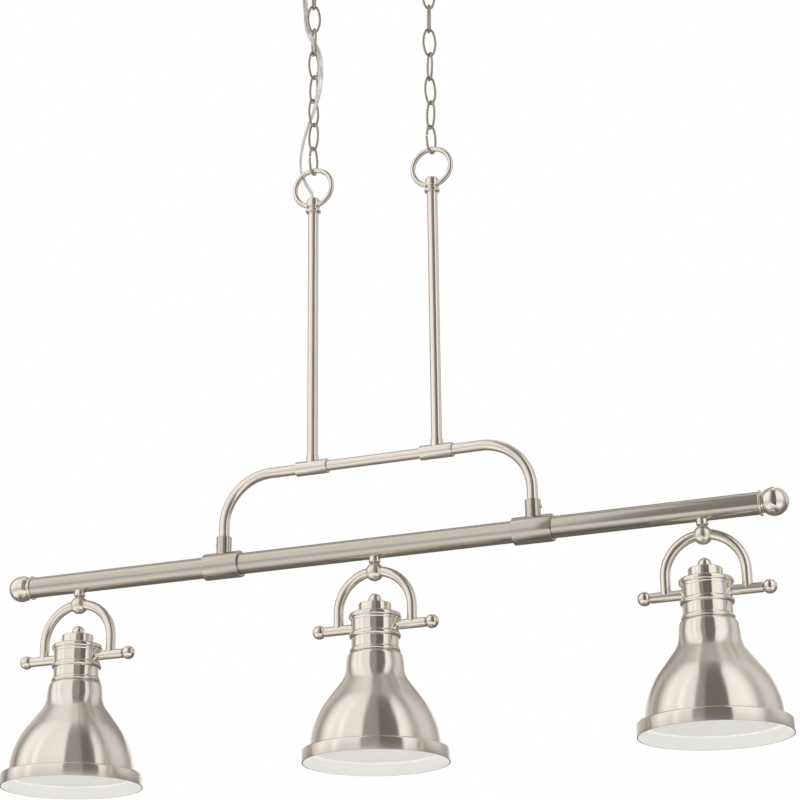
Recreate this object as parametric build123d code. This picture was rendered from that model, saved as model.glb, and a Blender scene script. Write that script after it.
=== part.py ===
from build123d import *
import os
from math import acos, atan2, cos, degrees, hypot, pi, radians, sin, sqrt, tan

# Linear island pendant: a three-lamp bar hung on two chains from an oblong ceiling canopy.
# Millimetres. The origin is the centre of the canopy's ceiling face, +Z is up, +X runs along
# the bar and +Y points away from the viewer.

# ---- clearances ---------------------------------------------------------------------------
FIT = 0.1               # between pieces that are pushed or screwed together
RUNNING = 0.05          # between a shaft and the hole that it turns in
LINK_GAP = 0.2          # between neighbouring links of one chain
MOVING_GAP = 0.3        # between links and loops that swing on each other
RING_GAP = 0.5          # between a hanger ring and the link in it

# ---- ceiling canopy -----------------------------------------------------------------------
CANOPY_LENGTH = 305.0
CANOPY_WIDTH = 121.0
CANOPY_DEPTH = 25.0
CANOPY_WALL = 1.0
CANOPY_EDGE = 7.0
BRACKET_LENGTH = 112.0
BRACKET_WIDTH = 24.0
BRACKET_THICKNESS = 2.0
BOX_SCREW_SPACING = 88.9
BOX_SCREW_HOLE_D = 5.0
CANOPY_SCREW_SPACING = 50.0
CANOPY_SCREW_D = 4.0
SCREW_HEAD_D = 12.0
SCREW_HEAD_HEIGHT = 7.0
BUSHING_OFFSET = 28.0
BUSHING_D = 12.0
BUSHING_FLANGE_D = 17.0
BUSHING_FLANGE = 2.0
BUSHING_LENGTH = 9.0

# ---- ceiling loops ------------------------------------------------------------------------
LOOP_WIRE_D = 3.5
LOOP_D = 19.5           # to the middle of the wire
LOOP_DROP = 16.0        # from the canopy's underside to the loop's centre
LOOP_FLANGE_D = 16.0
LOOP_FLANGE = 3.0
LOOP_NECK_D = 8.0
LOOP_STUD_D = 10.0
LOOP_STUD_LENGTH = 10.0
LOOP_TURN = 35.0
NUT_ACROSS_FLATS = 16.0
NUT_THICKNESS = 4.0

# ---- chains -------------------------------------------------------------------------------
LINK_WIRE_D = 3.0
LINK_INNER_LENGTH = 34.2
LINK_WIDTH = 18.5
LINK_END_R = 5.2        # to the middle of the wire
OPEN_LINK_GAP = 1.6
LEFT_LINK_TURNS = [76, -22, 67, -31, 63, -51, 35, -55]      # from the ring upwards
RIGHT_LINK_TURNS = [66, -35, 57, -50, 37, -62, 35, -55]
CHAIN_SPACING = 157.2

# ---- rings, stems and the bent handle -----------------------------------------------------
RING_D = 49.0           # to the middle of the wire
RING_WIRE_D = 6.0
HUB_D = 16.8
HUB_ABOVE_WIRE = 9.9    # hub top over the middle of the ring's wire
HUB_BELOW_WIRE = 2.6
HUB_EDGE = 4.2
HUB_SOCKET = 5.0
STEM_D = 12.7
STEM_WALL = 1.2
STEM_LENGTH = 339.2
BEAD_D = 19.0
BEAD_HEIGHT = 5.4
BEAD_BELOW_HUB = 2.4
HANDLE_D = 12.7
HANDLE_WALL = 1.2
HANDLE_SPACING = 385.2
HANDLE_RISE = 108.3     # from the main tube's axis to the handle's top axis
HANDLE_BEND_R = 60.0
BAR_SLEEVE_D = 17.5
BAR_SLEEVE_LENGTH = 40.0
BAR_BOSS_D = 14.6
BAR_BOSS_HEIGHT = 15.2  # over the handle's top axis
WIRE_HOLE_D = 10.0

# ---- main tube ----------------------------------------------------------------------------
MAIN_D = 25.4
MAIN_WALL = 1.2
MAIN_LENGTH = 899.0
END_BALL_D = 32.0
END_BALL_NECK_D = 22.0
END_BALL_SPIGOT = 12.0
END_BALL_OFFSET = 13.5  # ball centre beyond the end ring's outer face
END_RING_D = 29.0
END_RING_WIDTH = 2.5
MAIN_SLEEVE_D = 32.0
MAIN_SLEEVE_LENGTH = 46.0
MAIN_BOSS_D = 18.0
MAIN_BOSS_HEIGHT = 35.0 # over the main tube's axis
SET_SCREW_D = 4.0
SET_SCREW_HEIGHT = 26.5
SET_SCREW_PROUD = 1.2
SET_SCREW_SOCKET_D = 2.0

# ---- lamp yokes ---------------------------------------------------------------------------
LAMP_SPACING = 385.0
LAMP_COUNT = 3
NECK_D = 13.8
NECK_LENGTH = 4.6       # below the main tube
NECK_GROOVE = 0.6
NIPPLE_D = 6.4
NIPPLE_BORE_D = 3.6
NIPPLE_HEAD_D = 11.0
NIPPLE_HEAD = 2.4
NIPPLE_FOOT_D = 9.2
NIPPLE_FOOT = 2.0
YOKE_BALL_D = 21.4
CAVITY_D = 10.0
CAVITY_HEIGHT = 4.6
YOKE_TUBE_D = 11.5
YOKE_WALL = 1.3
YOKE_WIDTH = 90.0        # between the arms' axes
YOKE_TOP_ABOVE_BALL = 0.6
CROSSBAR_DROP = 65.0    # from the ball's centre to the crossbar's axis
CROSSBAR_D = 11.5
CROSSBAR_WALL = 1.5
CROSSBAR_LENGTH = 124.2
FINIAL_D = 16.0
FINIAL_SPACING = 138.0
FINIAL_STUD = 8.0
LEAD_HOLE_D = 5.0

# ---- socket cups, measured from the crossbar's axis ---------------------------------------
CUP_TOP = 16.4
CUP_TOP_D = 39.8
CUP_LIP_TOP = 15.0
CUP_LIP_BOTTOM = 8.6
CUP_LIP_D = 60.6
CUP_LIP_EDGE = 2.6
CUP_UPPER_D = 55.4
CUP_LOWER_D = 54.4
CUP_BORE_D = 49.0
CUP_ROOF = 4.0
CUP_FLOOR = 1.5
CUP_BOTTOM = -31.4
MID_BEAD_Z = -10.6
MID_BEAD_D = 60.0
MID_BEAD_HEIGHT = 7.2
LOW_BEAD_Z = -28.4
LOW_BEAD_D = 58.8
LOW_BEAD_HEIGHT = 5.9
CAP_D = 38.2
CAP_HEIGHT = 10.7
CAP_EDGE = 1.6
CAP_BALL_D = 15.6
CAP_BALL_ABOVE = 4.2    # ball centre over the cap's top
CAP_STUD_D = 5.0

# ---- shades -------------------------------------------------------------------------------
SHADE_HEIGHT = 124.0
SHADE_SHEET = 1.2
SHADE_SHOULDER_D = 64.4
SHADE_SHOULDER_R = 5.0
SHADE_NECK_D = 66.6
SHADE_NECK_DROP = 14.6  # from the shade's top to the start of its flare
FLARE_R = 32.0
BELL_R = 90.0
BELL_D = 147.6
BAND_D = 166.6
BAND_HEIGHT = 15.1
BAND_EDGE = 2.5
LINING_SHEET = 0.6

# ---- lampholders --------------------------------------------------------------------------
HOLDER_D = 37.0
HOLDER_FLANGE_D = 47.0
HOLDER_FLANGE = 3.0
HOLDER_REACH = 48.6     # below the cup
HOLDER_HOLE_D = 39.6    # in the cup's floor and the shade's top
SOCKET_BORE_D = 26.6
SOCKET_DEPTH = 27.0
SHELL_SHEET = 0.6
RING_NUT_D = 50.0
RING_NUT_HEIGHT = 5.0
CONTACT_D = 8.0

# ---- cords and wires ----------------------------------------------------------------------
CORD_D = 5.0            # round, with the section of a flat twin cord
CORD_HOLE_D = 7.8       # lets the flat cord through on its wide side
# Offsets from the left chain's axis and the ring's centre, from the hub up to the canopy.
CORD_ROUTE = [
    (0.0, 0.0, -22.0),
    (0.0, 0.0, -8.0),
    (-15.0, 8.0, 13.0),
    (-23.0, 9.5, 38.0),
    (-18.5, 6.0, 64.0),
    (-9.5, 3.0, 89.5),
    (0.5, -0.5, 107.0),
    (9.0, -6.5, 124.5),
    (13.5, -8.5, 148.0),
    (12.0, -6.0, 173.0),
    (6.3, 1.3, 194.0),
    (-3.3, -0.5, 213.0),
    (-11.5, 1.5, 234.0),
    (-15.0, 3.0, 259.0),
    (-21.0, 2.0, 284.0),
    (-28.0, 0.0, 308.0),
    (-28.0, 0.0, 326.0),
]
LEAD_D = 2.4
LEAD_PITCH = 7.2
LEAD_CORNER_R = 4.0
FLOOR_LEAD_PITCH = 3.2

# ---- places -------------------------------------------------------------------------------
CANOPY_UNDERSIDE = -CANOPY_DEPTH
LOOP_Z = CANOPY_UNDERSIDE - LOOP_DROP
LINK_HALF = (LINK_INNER_LENGTH + LINK_WIRE_D) / 2
LINK_STEP = LINK_INNER_LENGTH - LINK_GAP
TOP_LINK_Z = LOOP_Z - LOOP_D / 2 + (LOOP_WIRE_D + LINK_WIRE_D) / 2 + MOVING_GAP - LINK_HALF
CHAIN_TOP_Z = TOP_LINK_Z - LINK_INNER_LENGTH + MOVING_GAP
LINKS = len(LEFT_LINK_TURNS)
FIRST_LINK_Z = CHAIN_TOP_Z - (LINKS - 2) * LINK_STEP
RING_Z = FIRST_LINK_Z - LINK_HALF + (LINK_WIRE_D + RING_WIRE_D) / 2 + RING_GAP - RING_D / 2
HUB_TOP = RING_Z - RING_D / 2 + HUB_ABOVE_WIRE
HUB_BOTTOM = RING_Z - RING_D / 2 - HUB_BELOW_WIRE
STEM_TOP = HUB_BOTTOM + HUB_SOCKET
STEM_BOTTOM = STEM_TOP - STEM_LENGTH
BAR_Z = STEM_BOTTOM - HANDLE_D / 2 - 4 * FIT
MAIN_Z = BAR_Z - HANDLE_RISE
LEG_BOTTOM = MAIN_Z + MAIN_D / 2 + 5 * FIT
BEAD_Z = HUB_BOTTOM - BEAD_BELOW_HUB - BEAD_HEIGHT / 2
NECK_BOTTOM = MAIN_Z - MAIN_D / 2 - NECK_LENGTH
BALL_Z = NECK_BOTTOM - NECK_GROOVE - YOKE_BALL_D / 2
CROSSBAR_Z = BALL_Z - CROSSBAR_DROP
YOKE_ARCH_Z = BALL_Z + YOKE_TOP_ABOVE_BALL - YOKE_WIDTH / 2
SHADE_TOP = CROSSBAR_Z + CUP_BOTTOM - FIT
RIM_Z = SHADE_TOP - SHADE_HEIGHT
HOLDER_BOTTOM = SHADE_TOP - HOLDER_REACH
MAIN_END = MAIN_LENGTH / 2
END_BALL_X = MAIN_END + END_RING_WIDTH + END_BALL_OFFSET
CHAIN_XS = (-CHAIN_SPACING / 2, CHAIN_SPACING / 2)
HANDLE_XS = (-HANDLE_SPACING / 2, HANDLE_SPACING / 2)
LAMP_XS = [LAMP_SPACING * (i - (LAMP_COUNT - 1) / 2) for i in range(LAMP_COUNT)]


# ---- simple solids ------------------------------------------------------------------------
def upright(diameter, low, high, x=0.0, y=0.0):
    """A cylinder along Z."""
    return Pos(x, y, (low + high) / 2) * Cylinder(diameter / 2, high - low)


def lengthwise(diameter, left, right, z, y=0.0):
    """A cylinder along X."""
    return Pos((left + right) / 2, y, z) * Rot(0, 90, 0) * Cylinder(diameter / 2, right - left)


def ball(diameter, x, z):
    return Pos(x, 0, z) * Sphere(diameter / 2)


def bead(diameter, height, x, z):
    """A half-round ring about Z, with its outermost edge at the diameter."""
    return Pos(x, 0, z) * Torus((diameter - height) / 2, height / 2)


def nut(across_flats, bore, low, high, x):
    body = Pos(x, 0, low) * extrude(RegularPolygon(across_flats / sqrt(3), 6), high - low)
    return body - upright(bore, low - 1, high + 1, x)


def group(pieces):
    """Separate solids that share one node."""
    solids = []
    for piece in pieces:
        solids.extend(piece.solids())
    return Compound(children=solids)


def swept(path, diameter):
    """A round bar along a path."""
    section = Plane(path @ 0, z_dir=path % 0) * Circle(diameter / 2)
    return sweep(section, path=path)


def route_tube(points, diameter, radii):
    return swept(FilletPolyline(*points, radius=radii), diameter)


def corner_radii(points):
    """The radius at each corner of a route: 0.45 of the shorter run over the tangent of half the turn."""
    radii = []
    for before, here, after in zip(points, points[1:], points[2:]):
        first = Vector(*here) - Vector(*before)
        second = Vector(*after) - Vector(*here)
        half_turn = radians(first.get_angle(second)) / 2
        radii.append(0.45 * min(first.length, second.length) / tan(half_turn))
    return radii


# ---- ceiling canopy -----------------------------------------------------------------------
def canopy_body(inset, edge, low):
    outline = SlotOverall(CANOPY_LENGTH - 2 * inset, CANOPY_WIDTH - 2 * inset)
    body = Pos(0, 0, low) * extrude(outline, -low)
    rim = body.faces().sort_by(Axis.Z)[0].edges()
    return fillet(rim, edge)


def ceiling_canopy():
    shell = canopy_body(0, CANOPY_EDGE, CANOPY_UNDERSIDE)
    inner_edge = CANOPY_EDGE - CANOPY_WALL
    shell -= canopy_body(CANOPY_WALL, inner_edge, CANOPY_UNDERSIDE + CANOPY_WALL)
    holes = [(x, LOOP_STUD_D) for x in CHAIN_XS]
    holes += [(side * CANOPY_SCREW_SPACING / 2, CANOPY_SCREW_D) for side in (-1, 1)]
    holes.append((CHAIN_XS[0] - BUSHING_OFFSET, BUSHING_D))
    for x, diameter in holes:
        shell -= upright(diameter + 2 * FIT, CANOPY_UNDERSIDE - 1, CANOPY_UNDERSIDE + 2 * CANOPY_WALL, x)
    return shell


def mounting_bracket():
    strap = Pos(0, 0, -BRACKET_THICKNESS) * extrude(
        SlotOverall(BRACKET_LENGTH, BRACKET_WIDTH), BRACKET_THICKNESS)
    for side in (-1, 1):
        strap -= upright(BOX_SCREW_HOLE_D, -BRACKET_THICKNESS - 1, 1, side * BOX_SCREW_SPACING / 2)
        strap -= upright(CANOPY_SCREW_D + 2 * FIT, -BRACKET_THICKNESS - 1, 1,
                         side * CANOPY_SCREW_SPACING / 2)
    return strap


def canopy_screws():
    screws = []
    for side in (-1, 1):
        x = side * CANOPY_SCREW_SPACING / 2
        shank = upright(CANOPY_SCREW_D, CANOPY_UNDERSIDE - 1, -FIT, x)
        head = upright(SCREW_HEAD_D, CANOPY_UNDERSIDE - SCREW_HEAD_HEIGHT, CANOPY_UNDERSIDE, x)
        head = fillet(head.faces().sort_by(Axis.Z)[0].edges(), SCREW_HEAD_HEIGHT / 2)
        screws.append(shank + head)
    return group(screws)


def ceiling_loops():
    loops = []
    for x in CHAIN_XS:
        loop = Pos(x, 0, LOOP_Z) * Rot(0, 0, LOOP_TURN) * Rot(90, 0, 0) * Torus(LOOP_D / 2, LOOP_WIRE_D / 2)
        loop += upright(LOOP_NECK_D, LOOP_Z + LOOP_D / 2, CANOPY_UNDERSIDE - LOOP_FLANGE / 2, x)
        loop += upright(LOOP_FLANGE_D, CANOPY_UNDERSIDE - LOOP_FLANGE, CANOPY_UNDERSIDE, x)
        loop += upright(LOOP_STUD_D, CANOPY_UNDERSIDE - 1, CANOPY_UNDERSIDE + LOOP_STUD_LENGTH, x)
        loops.append(loop)
    return group(loops)


def loop_nuts():
    low = CANOPY_UNDERSIDE + CANOPY_WALL
    return group([nut(NUT_ACROSS_FLATS, LOOP_STUD_D + 2 * FIT, low, low + NUT_THICKNESS, x)
                  for x in CHAIN_XS])


def cord_bushing():
    x = CHAIN_XS[0] - BUSHING_OFFSET
    low = CANOPY_UNDERSIDE - BUSHING_FLANGE
    bushing = upright(BUSHING_FLANGE_D, low, CANOPY_UNDERSIDE, x)
    bushing = fillet(bushing.faces().sort_by(Axis.Z)[0].edges(), BUSHING_FLANGE / 2)
    bushing += upright(BUSHING_D, CANOPY_UNDERSIDE - FIT, low + BUSHING_LENGTH, x)
    return bushing - upright(CORD_HOLE_D, low - 1, low + BUSHING_LENGTH + 1, x)


# ---- chains -------------------------------------------------------------------------------
def link_path():
    """An oval of four arcs in the XZ plane, to the middle of the wire."""
    half_width = (LINK_WIDTH - LINK_WIRE_D) / 2
    rise = LINK_HALF - LINK_END_R
    side_r = (rise ** 2 + half_width ** 2 - LINK_END_R ** 2) / (2 * (half_width - LINK_END_R))
    lean = degrees(atan2(rise, side_r - half_width))
    arcs = []
    for end in (0, 180):
        turn = Rot(0, -end, 0)
        side = CenterArc((half_width - side_r, 0), side_r, -lean, 2 * lean)
        tip = CenterArc((0, rise), LINK_END_R, lean, 180 - 2 * lean)
        arcs += [turn * Rot(90, 0, 0) * side, turn * Rot(90, 0, 0) * tip]
    return Wire(arcs)


def chain_link(x, z, turn, is_open=False):
    link = swept(link_path(), LINK_WIRE_D)
    if is_open:
        side = -(LINK_WIDTH - LINK_WIRE_D) / 2
        link -= Pos(side, 0, 2 * OPEN_LINK_GAP) * Box(4 * LINK_WIRE_D, 4 * LINK_WIRE_D, OPEN_LINK_GAP)
    return Pos(x, 0, z) * Rot(0, 0, turn) * link


def chain(x, turns):
    links = []
    for number, turn in enumerate(turns[:-1]):
        z = FIRST_LINK_Z + number * LINK_STEP
        links.append(chain_link(x, z, turn, is_open=number == 0))
    return group(links)


def top_links():
    turns = (LEFT_LINK_TURNS[-1], RIGHT_LINK_TURNS[-1])
    return group([chain_link(x, TOP_LINK_Z, turn) for x, turn in zip(CHAIN_XS, turns)])


# ---- rings, stems and the bent handle -----------------------------------------------------
def hanger_rings():
    rings = []
    for x in CHAIN_XS:
        hub = upright(HUB_D, HUB_BOTTOM, HUB_TOP, x)
        hub = fillet(hub.faces().sort_by(Axis.Z)[-1].edges(), HUB_EDGE)
        ring = hub + Pos(x, 0, RING_Z) * Rot(90, 0, 0) * Torus(RING_D / 2, RING_WIRE_D / 2)
        ring -= upright(CORD_HOLE_D, HUB_BOTTOM - 1, HUB_TOP + 1, x)
        ring -= upright(STEM_D + 2 * FIT, HUB_BOTTOM - 1, STEM_TOP + FIT, x)
        rings.append(ring)
    return group(rings)


def bead_collars():
    return group([bead(BEAD_D, BEAD_HEIGHT, x, BEAD_Z)
                  + upright(BEAD_D - BEAD_HEIGHT, BEAD_Z - BEAD_HEIGHT / 2, BEAD_Z + BEAD_HEIGHT / 2, x)
                  - upright(STEM_D + 2 * FIT, BEAD_Z - BEAD_HEIGHT, BEAD_Z + BEAD_HEIGHT, x)
                  for x in CHAIN_XS])


def stems():
    return group([upright(STEM_D, STEM_BOTTOM, STEM_TOP, x)
                  - upright(STEM_D - 2 * STEM_WALL, STEM_BOTTOM - 1, STEM_TOP + 1, x)
                  for x in CHAIN_XS])


def handle_path():
    left, right = HANDLE_XS
    corners = [(left, 0, LEG_BOTTOM), (left, 0, BAR_Z), (right, 0, BAR_Z), (right, 0, LEG_BOTTOM)]
    return FilletPolyline(*corners, radius=HANDLE_BEND_R)


def handle():
    tube = swept(handle_path(), HANDLE_D) - swept(handle_path(), HANDLE_D - 2 * HANDLE_WALL)
    return tube - upright(WIRE_HOLE_D, BAR_Z, BAR_Z + HANDLE_D, CHAIN_XS[0])


def bar_sleeves():
    sleeves = []
    for x in CHAIN_XS:
        half = BAR_SLEEVE_LENGTH / 2
        sleeve = lengthwise(BAR_SLEEVE_D, x - half, x + half, BAR_Z)
        sleeve += upright(BAR_BOSS_D, BAR_Z, BAR_Z + BAR_BOSS_HEIGHT, x)
        sleeve -= lengthwise(HANDLE_D + 2 * FIT, x - half - 1, x + half + 1, BAR_Z)
        sleeve -= upright(STEM_D + 2 * FIT, BAR_Z, BAR_Z + BAR_BOSS_HEIGHT + 1, x)
        sleeves.append(sleeve)
    return group(sleeves)


# ---- main tube ----------------------------------------------------------------------------
def main_tube():
    tube = lengthwise(MAIN_D, -MAIN_END, MAIN_END, MAIN_Z)
    tube -= lengthwise(MAIN_D - 2 * MAIN_WALL, -MAIN_END - 1, MAIN_END + 1, MAIN_Z)
    for x in LAMP_XS:
        tube -= upright(NIPPLE_D + 2 * FIT, MAIN_Z - MAIN_D, MAIN_Z, x)
    return tube - upright(WIRE_HOLE_D, MAIN_Z, MAIN_Z + MAIN_D, HANDLE_XS[0])


def end_rings():
    rings = []
    for side in (-1, 1):
        near, far = sorted((side * MAIN_END, side * (MAIN_END + END_RING_WIDTH)))
        ring = lengthwise(END_RING_D, near, far, MAIN_Z)
        ring = fillet(ring.edges(), END_RING_WIDTH / 3)
        rings.append(ring - lengthwise(MAIN_D - 2 * MAIN_WALL, near - 1, far + 1, MAIN_Z))
    return group(rings)


def end_balls():
    balls = []
    for side in (-1, 1):
        face = MAIN_END + END_RING_WIDTH
        neck = sorted((side * face, side * END_BALL_X))
        spigot = sorted((side * (face - END_BALL_SPIGOT), side * (face + 1)))
        stud = lengthwise(MAIN_D - 2 * MAIN_WALL - 2 * FIT, *spigot, MAIN_Z)
        stud += lengthwise(END_BALL_NECK_D, *neck, MAIN_Z)
        balls.append(stud + ball(END_BALL_D, side * END_BALL_X, MAIN_Z))
    return group(balls)


def main_sleeves():
    sleeves = []
    for x in HANDLE_XS:
        half = MAIN_SLEEVE_LENGTH / 2
        out = 1 if x > 0 else -1
        sleeve = lengthwise(MAIN_SLEEVE_D, x - half, x + half, MAIN_Z)
        sleeve += upright(MAIN_BOSS_D, MAIN_Z, MAIN_Z + MAIN_BOSS_HEIGHT, x)
        sleeve -= lengthwise(MAIN_D + 2 * FIT, x - half - 1, x + half + 1, MAIN_Z)
        sleeve -= upright(HANDLE_D + 2 * FIT, MAIN_Z, MAIN_Z + MAIN_BOSS_HEIGHT + 1, x)
        screw_hole = sorted((x, x + out * MAIN_BOSS_D))
        sleeve -= lengthwise(SET_SCREW_D + FIT, *screw_hole, MAIN_Z + SET_SCREW_HEIGHT)
        sleeves.append(sleeve)
    return group(sleeves)


def set_screws():
    screws = []
    for x in HANDLE_XS:
        out = 1 if x > 0 else -1
        tip = x + out * (HANDLE_D / 2 + FIT)
        end = x + out * (MAIN_BOSS_D / 2 + SET_SCREW_PROUD)
        z = MAIN_Z + SET_SCREW_HEIGHT
        screw = lengthwise(SET_SCREW_D, *sorted((tip, end)), z)
        screw -= lengthwise(SET_SCREW_SOCKET_D, *sorted((end - out * SET_SCREW_PROUD, end + out)), z)
        screws.append(screw)
    return group(screws)


def lamp_necks():
    return group([upright(NECK_D, NECK_BOTTOM, MAIN_Z - MAIN_D / 4, x)
                  - lengthwise(MAIN_D + 2 * FIT, x - NECK_D, x + NECK_D, MAIN_Z)
                  - upright(NIPPLE_D + 2 * FIT, NECK_BOTTOM - 1, MAIN_Z, x)
                  for x in LAMP_XS])


def nipple_foot_top():
    return BALL_Z + NIPPLE_FOOT / 2


def lamp_nipples():
    nipples = []
    inside = sqrt((MAIN_D / 2 - MAIN_WALL) ** 2 - (NIPPLE_HEAD_D / 2) ** 2) - 2 * FIT
    top = MAIN_Z - inside + NIPPLE_HEAD
    foot = nipple_foot_top()
    for x in LAMP_XS:
        nipple = upright(NIPPLE_D, foot - NIPPLE_FOOT / 2, top, x)
        nipple += upright(NIPPLE_HEAD_D, top - NIPPLE_HEAD, top, x)
        nipple += upright(NIPPLE_FOOT_D, foot - NIPPLE_FOOT, foot, x)
        nipples.append(nipple - upright(NIPPLE_BORE_D, foot - NIPPLE_FOOT - 1, top + 1, x))
    return group(nipples)


# ---- lamp yokes ---------------------------------------------------------------------------
def yoke_ball(x):
    foot = nipple_foot_top()
    piece = ball(YOKE_BALL_D, x, BALL_Z)
    piece -= upright(NIPPLE_D + 2 * RUNNING, BALL_Z, BALL_Z + YOKE_BALL_D, x)
    cavity_top = foot + MOVING_GAP
    return piece - upright(CAVITY_D, cavity_top - CAVITY_HEIGHT, cavity_top, x)


def yoke_path(x):
    left, right = x - YOKE_WIDTH / 2, x + YOKE_WIDTH / 2
    crown = (x, 0, YOKE_ARCH_Z + YOKE_WIDTH / 2)
    arch = ThreePointArc((left, 0, YOKE_ARCH_Z), crown, (right, 0, YOKE_ARCH_Z))
    legs = [Line((left, 0, CROSSBAR_Z), arch @ 0), Line(arch @ 1, (right, 0, CROSSBAR_Z))]
    return Wire([legs[0], arch, legs[1]])


def yoke_arms(x):
    path = yoke_path(x)
    arms = swept(path, YOKE_TUBE_D) - swept(path, YOKE_TUBE_D - 2 * YOKE_WALL)
    arms -= ball(YOKE_BALL_D + FIT, x, BALL_Z)
    return group([arms - lengthwise(CROSSBAR_D + FIT, x - YOKE_WIDTH, x + YOKE_WIDTH, CROSSBAR_Z)])


def crossbar(x):
    half = CROSSBAR_LENGTH / 2
    bar = lengthwise(CROSSBAR_D, x - half, x + half, CROSSBAR_Z)
    bar -= lengthwise(CROSSBAR_D - 2 * CROSSBAR_WALL, x - half - 1, x + half + 1, CROSSBAR_Z)
    bar -= upright(LEAD_HOLE_D, CROSSBAR_Z, CROSSBAR_Z + CROSSBAR_D, x - YOKE_WIDTH / 2)
    return bar - upright(LEAD_HOLE_D, CROSSBAR_Z - CROSSBAR_D, CROSSBAR_Z, x)


def crossbar_finials(x):
    finials = []
    for side in (-1, 1):
        stud = sorted((x + side * (CROSSBAR_LENGTH / 2 - FINIAL_STUD), x + side * FINIAL_SPACING / 2))
        finials.append(ball(FINIAL_D, x + side * FINIAL_SPACING / 2, CROSSBAR_Z)
                       + lengthwise(CROSSBAR_D - 2 * CROSSBAR_WALL - 2 * FIT, *stud, CROSSBAR_Z))
    return group(finials)


# ---- lamp heads ---------------------------------------------------------------------------
def socket_cup(x):
    z = CROSSBAR_Z
    lip = upright(CUP_LIP_D, z + CUP_LIP_BOTTOM, z + CUP_LIP_TOP, x)
    cup = fillet(lip.edges().filter_by(GeomType.CIRCLE), CUP_LIP_EDGE)
    top_slope = Cone(CUP_LIP_D / 2 - CUP_LIP_EDGE, CUP_TOP_D / 2, CUP_TOP - CUP_LIP_TOP)
    cup += Pos(x, 0, z + (CUP_TOP + CUP_LIP_TOP) / 2) * top_slope
    cup += upright(CUP_UPPER_D, z + MID_BEAD_Z, z + CUP_LIP_TOP, x)
    cup += upright(CUP_LOWER_D, z + CUP_BOTTOM, z + MID_BEAD_Z, x)
    cup += bead(MID_BEAD_D, MID_BEAD_HEIGHT, x, z + MID_BEAD_Z)
    cup += bead(LOW_BEAD_D, LOW_BEAD_HEIGHT, x, z + LOW_BEAD_Z)
    cup -= upright(CUP_BORE_D, z + CUP_BOTTOM + CUP_FLOOR, z + CUP_TOP - CUP_ROOF, x)
    cup -= upright(HOLDER_HOLE_D, z + CUP_BOTTOM - 1, z, x)
    cup -= upright(CAP_STUD_D + 2 * FIT, z, z + CUP_TOP + 1, x)
    return cup - lengthwise(CROSSBAR_D + 2 * RUNNING, x - CUP_LIP_D, x + CUP_LIP_D, z)


def cup_cap(x):
    low = CROSSBAR_Z + CUP_TOP
    cap = upright(CAP_D, low, low + CAP_HEIGHT, x)
    cap = fillet(cap.faces().sort_by(Axis.Z)[-1].edges(), CAP_EDGE)
    return cap - upright(CAP_STUD_D + 2 * FIT, low - 1, low + CAP_HEIGHT + 1, x)


def cap_finial(x):
    cap_top = CROSSBAR_Z + CUP_TOP + CAP_HEIGHT
    finial = ball(CAP_BALL_D, x, cap_top + CAP_BALL_ABOVE)
    finial -= upright(2 * CAP_BALL_D, cap_top - CAP_BALL_D, cap_top, x)
    return finial + upright(CAP_STUD_D, CROSSBAR_Z + CUP_TOP - CUP_ROOF, cap_top + 1, x)


def shade_profile(inset):
    """The shade's profile as joined edges, moved inwards by the inset, from its top hole to its rim."""
    top = SHADE_TOP - inset
    shoulder_r = SHADE_SHOULDER_R - inset
    shoulder_x = SHADE_SHOULDER_D / 2 - SHADE_SHOULDER_R
    shoulder_z = SHADE_TOP - SHADE_SHOULDER_R
    flare_x = SHADE_NECK_D / 2 + FLARE_R
    flare_z = SHADE_TOP - SHADE_NECK_DROP
    flare_r = FLARE_R + inset
    bell_x = BELL_D / 2 - BELL_R
    bell_z = RIM_Z + BAND_HEIGHT
    bell_r = BELL_R - inset
    # The straight flank touches the flare's circle on its inner side and the bell's on its outer side.
    run, drop = flare_x - bell_x, flare_z - bell_z
    apart = hypot(run, drop)
    lean = atan2(drop, run) + acos((bell_r + flare_r) / apart)
    lean = 2 * atan2(drop, run) - lean
    bell_touch = (bell_x + bell_r * cos(lean), bell_z + bell_r * sin(lean))
    flare_touch = (flare_x - flare_r * cos(lean), flare_z - flare_r * sin(lean))
    neck = (flare_x - flare_r, flare_z)
    bell_foot = (bell_x + bell_r, bell_z - inset)
    band_r = BAND_EDGE - min(inset, BAND_EDGE / 2)
    band_x = BAND_D / 2 - inset
    half = radians(45)

    def arc(centre, radius, start, middle, end):
        points = [(centre[0] + radius * cos(a), 0, centre[1] + radius * sin(a)) for a in (start, middle, end)]
        return ThreePointArc(*points)

    shoulder = arc((shoulder_x, shoulder_z), shoulder_r, pi / 2, half, 0)
    flare = arc((flare_x, flare_z), flare_r, pi, pi + lean / 2, pi + lean)
    bell = arc((bell_x, bell_z), bell_r, lean, lean / 2, 0)
    band = arc((band_x - band_r, bell_z - inset - band_r), band_r, pi / 2, half, 0)
    return [
        Line((HOLDER_HOLE_D / 2, 0, top), shoulder @ 0),
        shoulder,
        Line(shoulder @ 1, (neck[0], 0, neck[1])),
        flare,
        Line((flare_touch[0], 0, flare_touch[1]), (bell_touch[0], 0, bell_touch[1])),
        bell,
        Line(bell @ 1, (bell_foot[0], 0, bell_foot[1])) if inset else None,
        Line((bell_foot[0], 0, bell_foot[1]), band @ 0),
        band,
        Line(band @ 1, (band_x, 0, RIM_Z)),
    ]


def sheet_of_revolution(x, outer_inset, inner_inset):
    outer = [edge for edge in shade_profile(outer_inset) if edge]
    inner = [edge for edge in shade_profile(inner_inset) if edge]
    edges = outer + inner
    edges.append(Line(outer[0] @ 0, inner[0] @ 0))
    edges.append(Line(outer[-1] @ 1, inner[-1] @ 1))
    face = make_face(Wire(edges))
    return Pos(x, 0, 0) * revolve(face, Axis.Z)


def shade(x):
    return sheet_of_revolution(x, 0, SHADE_SHEET)


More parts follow.
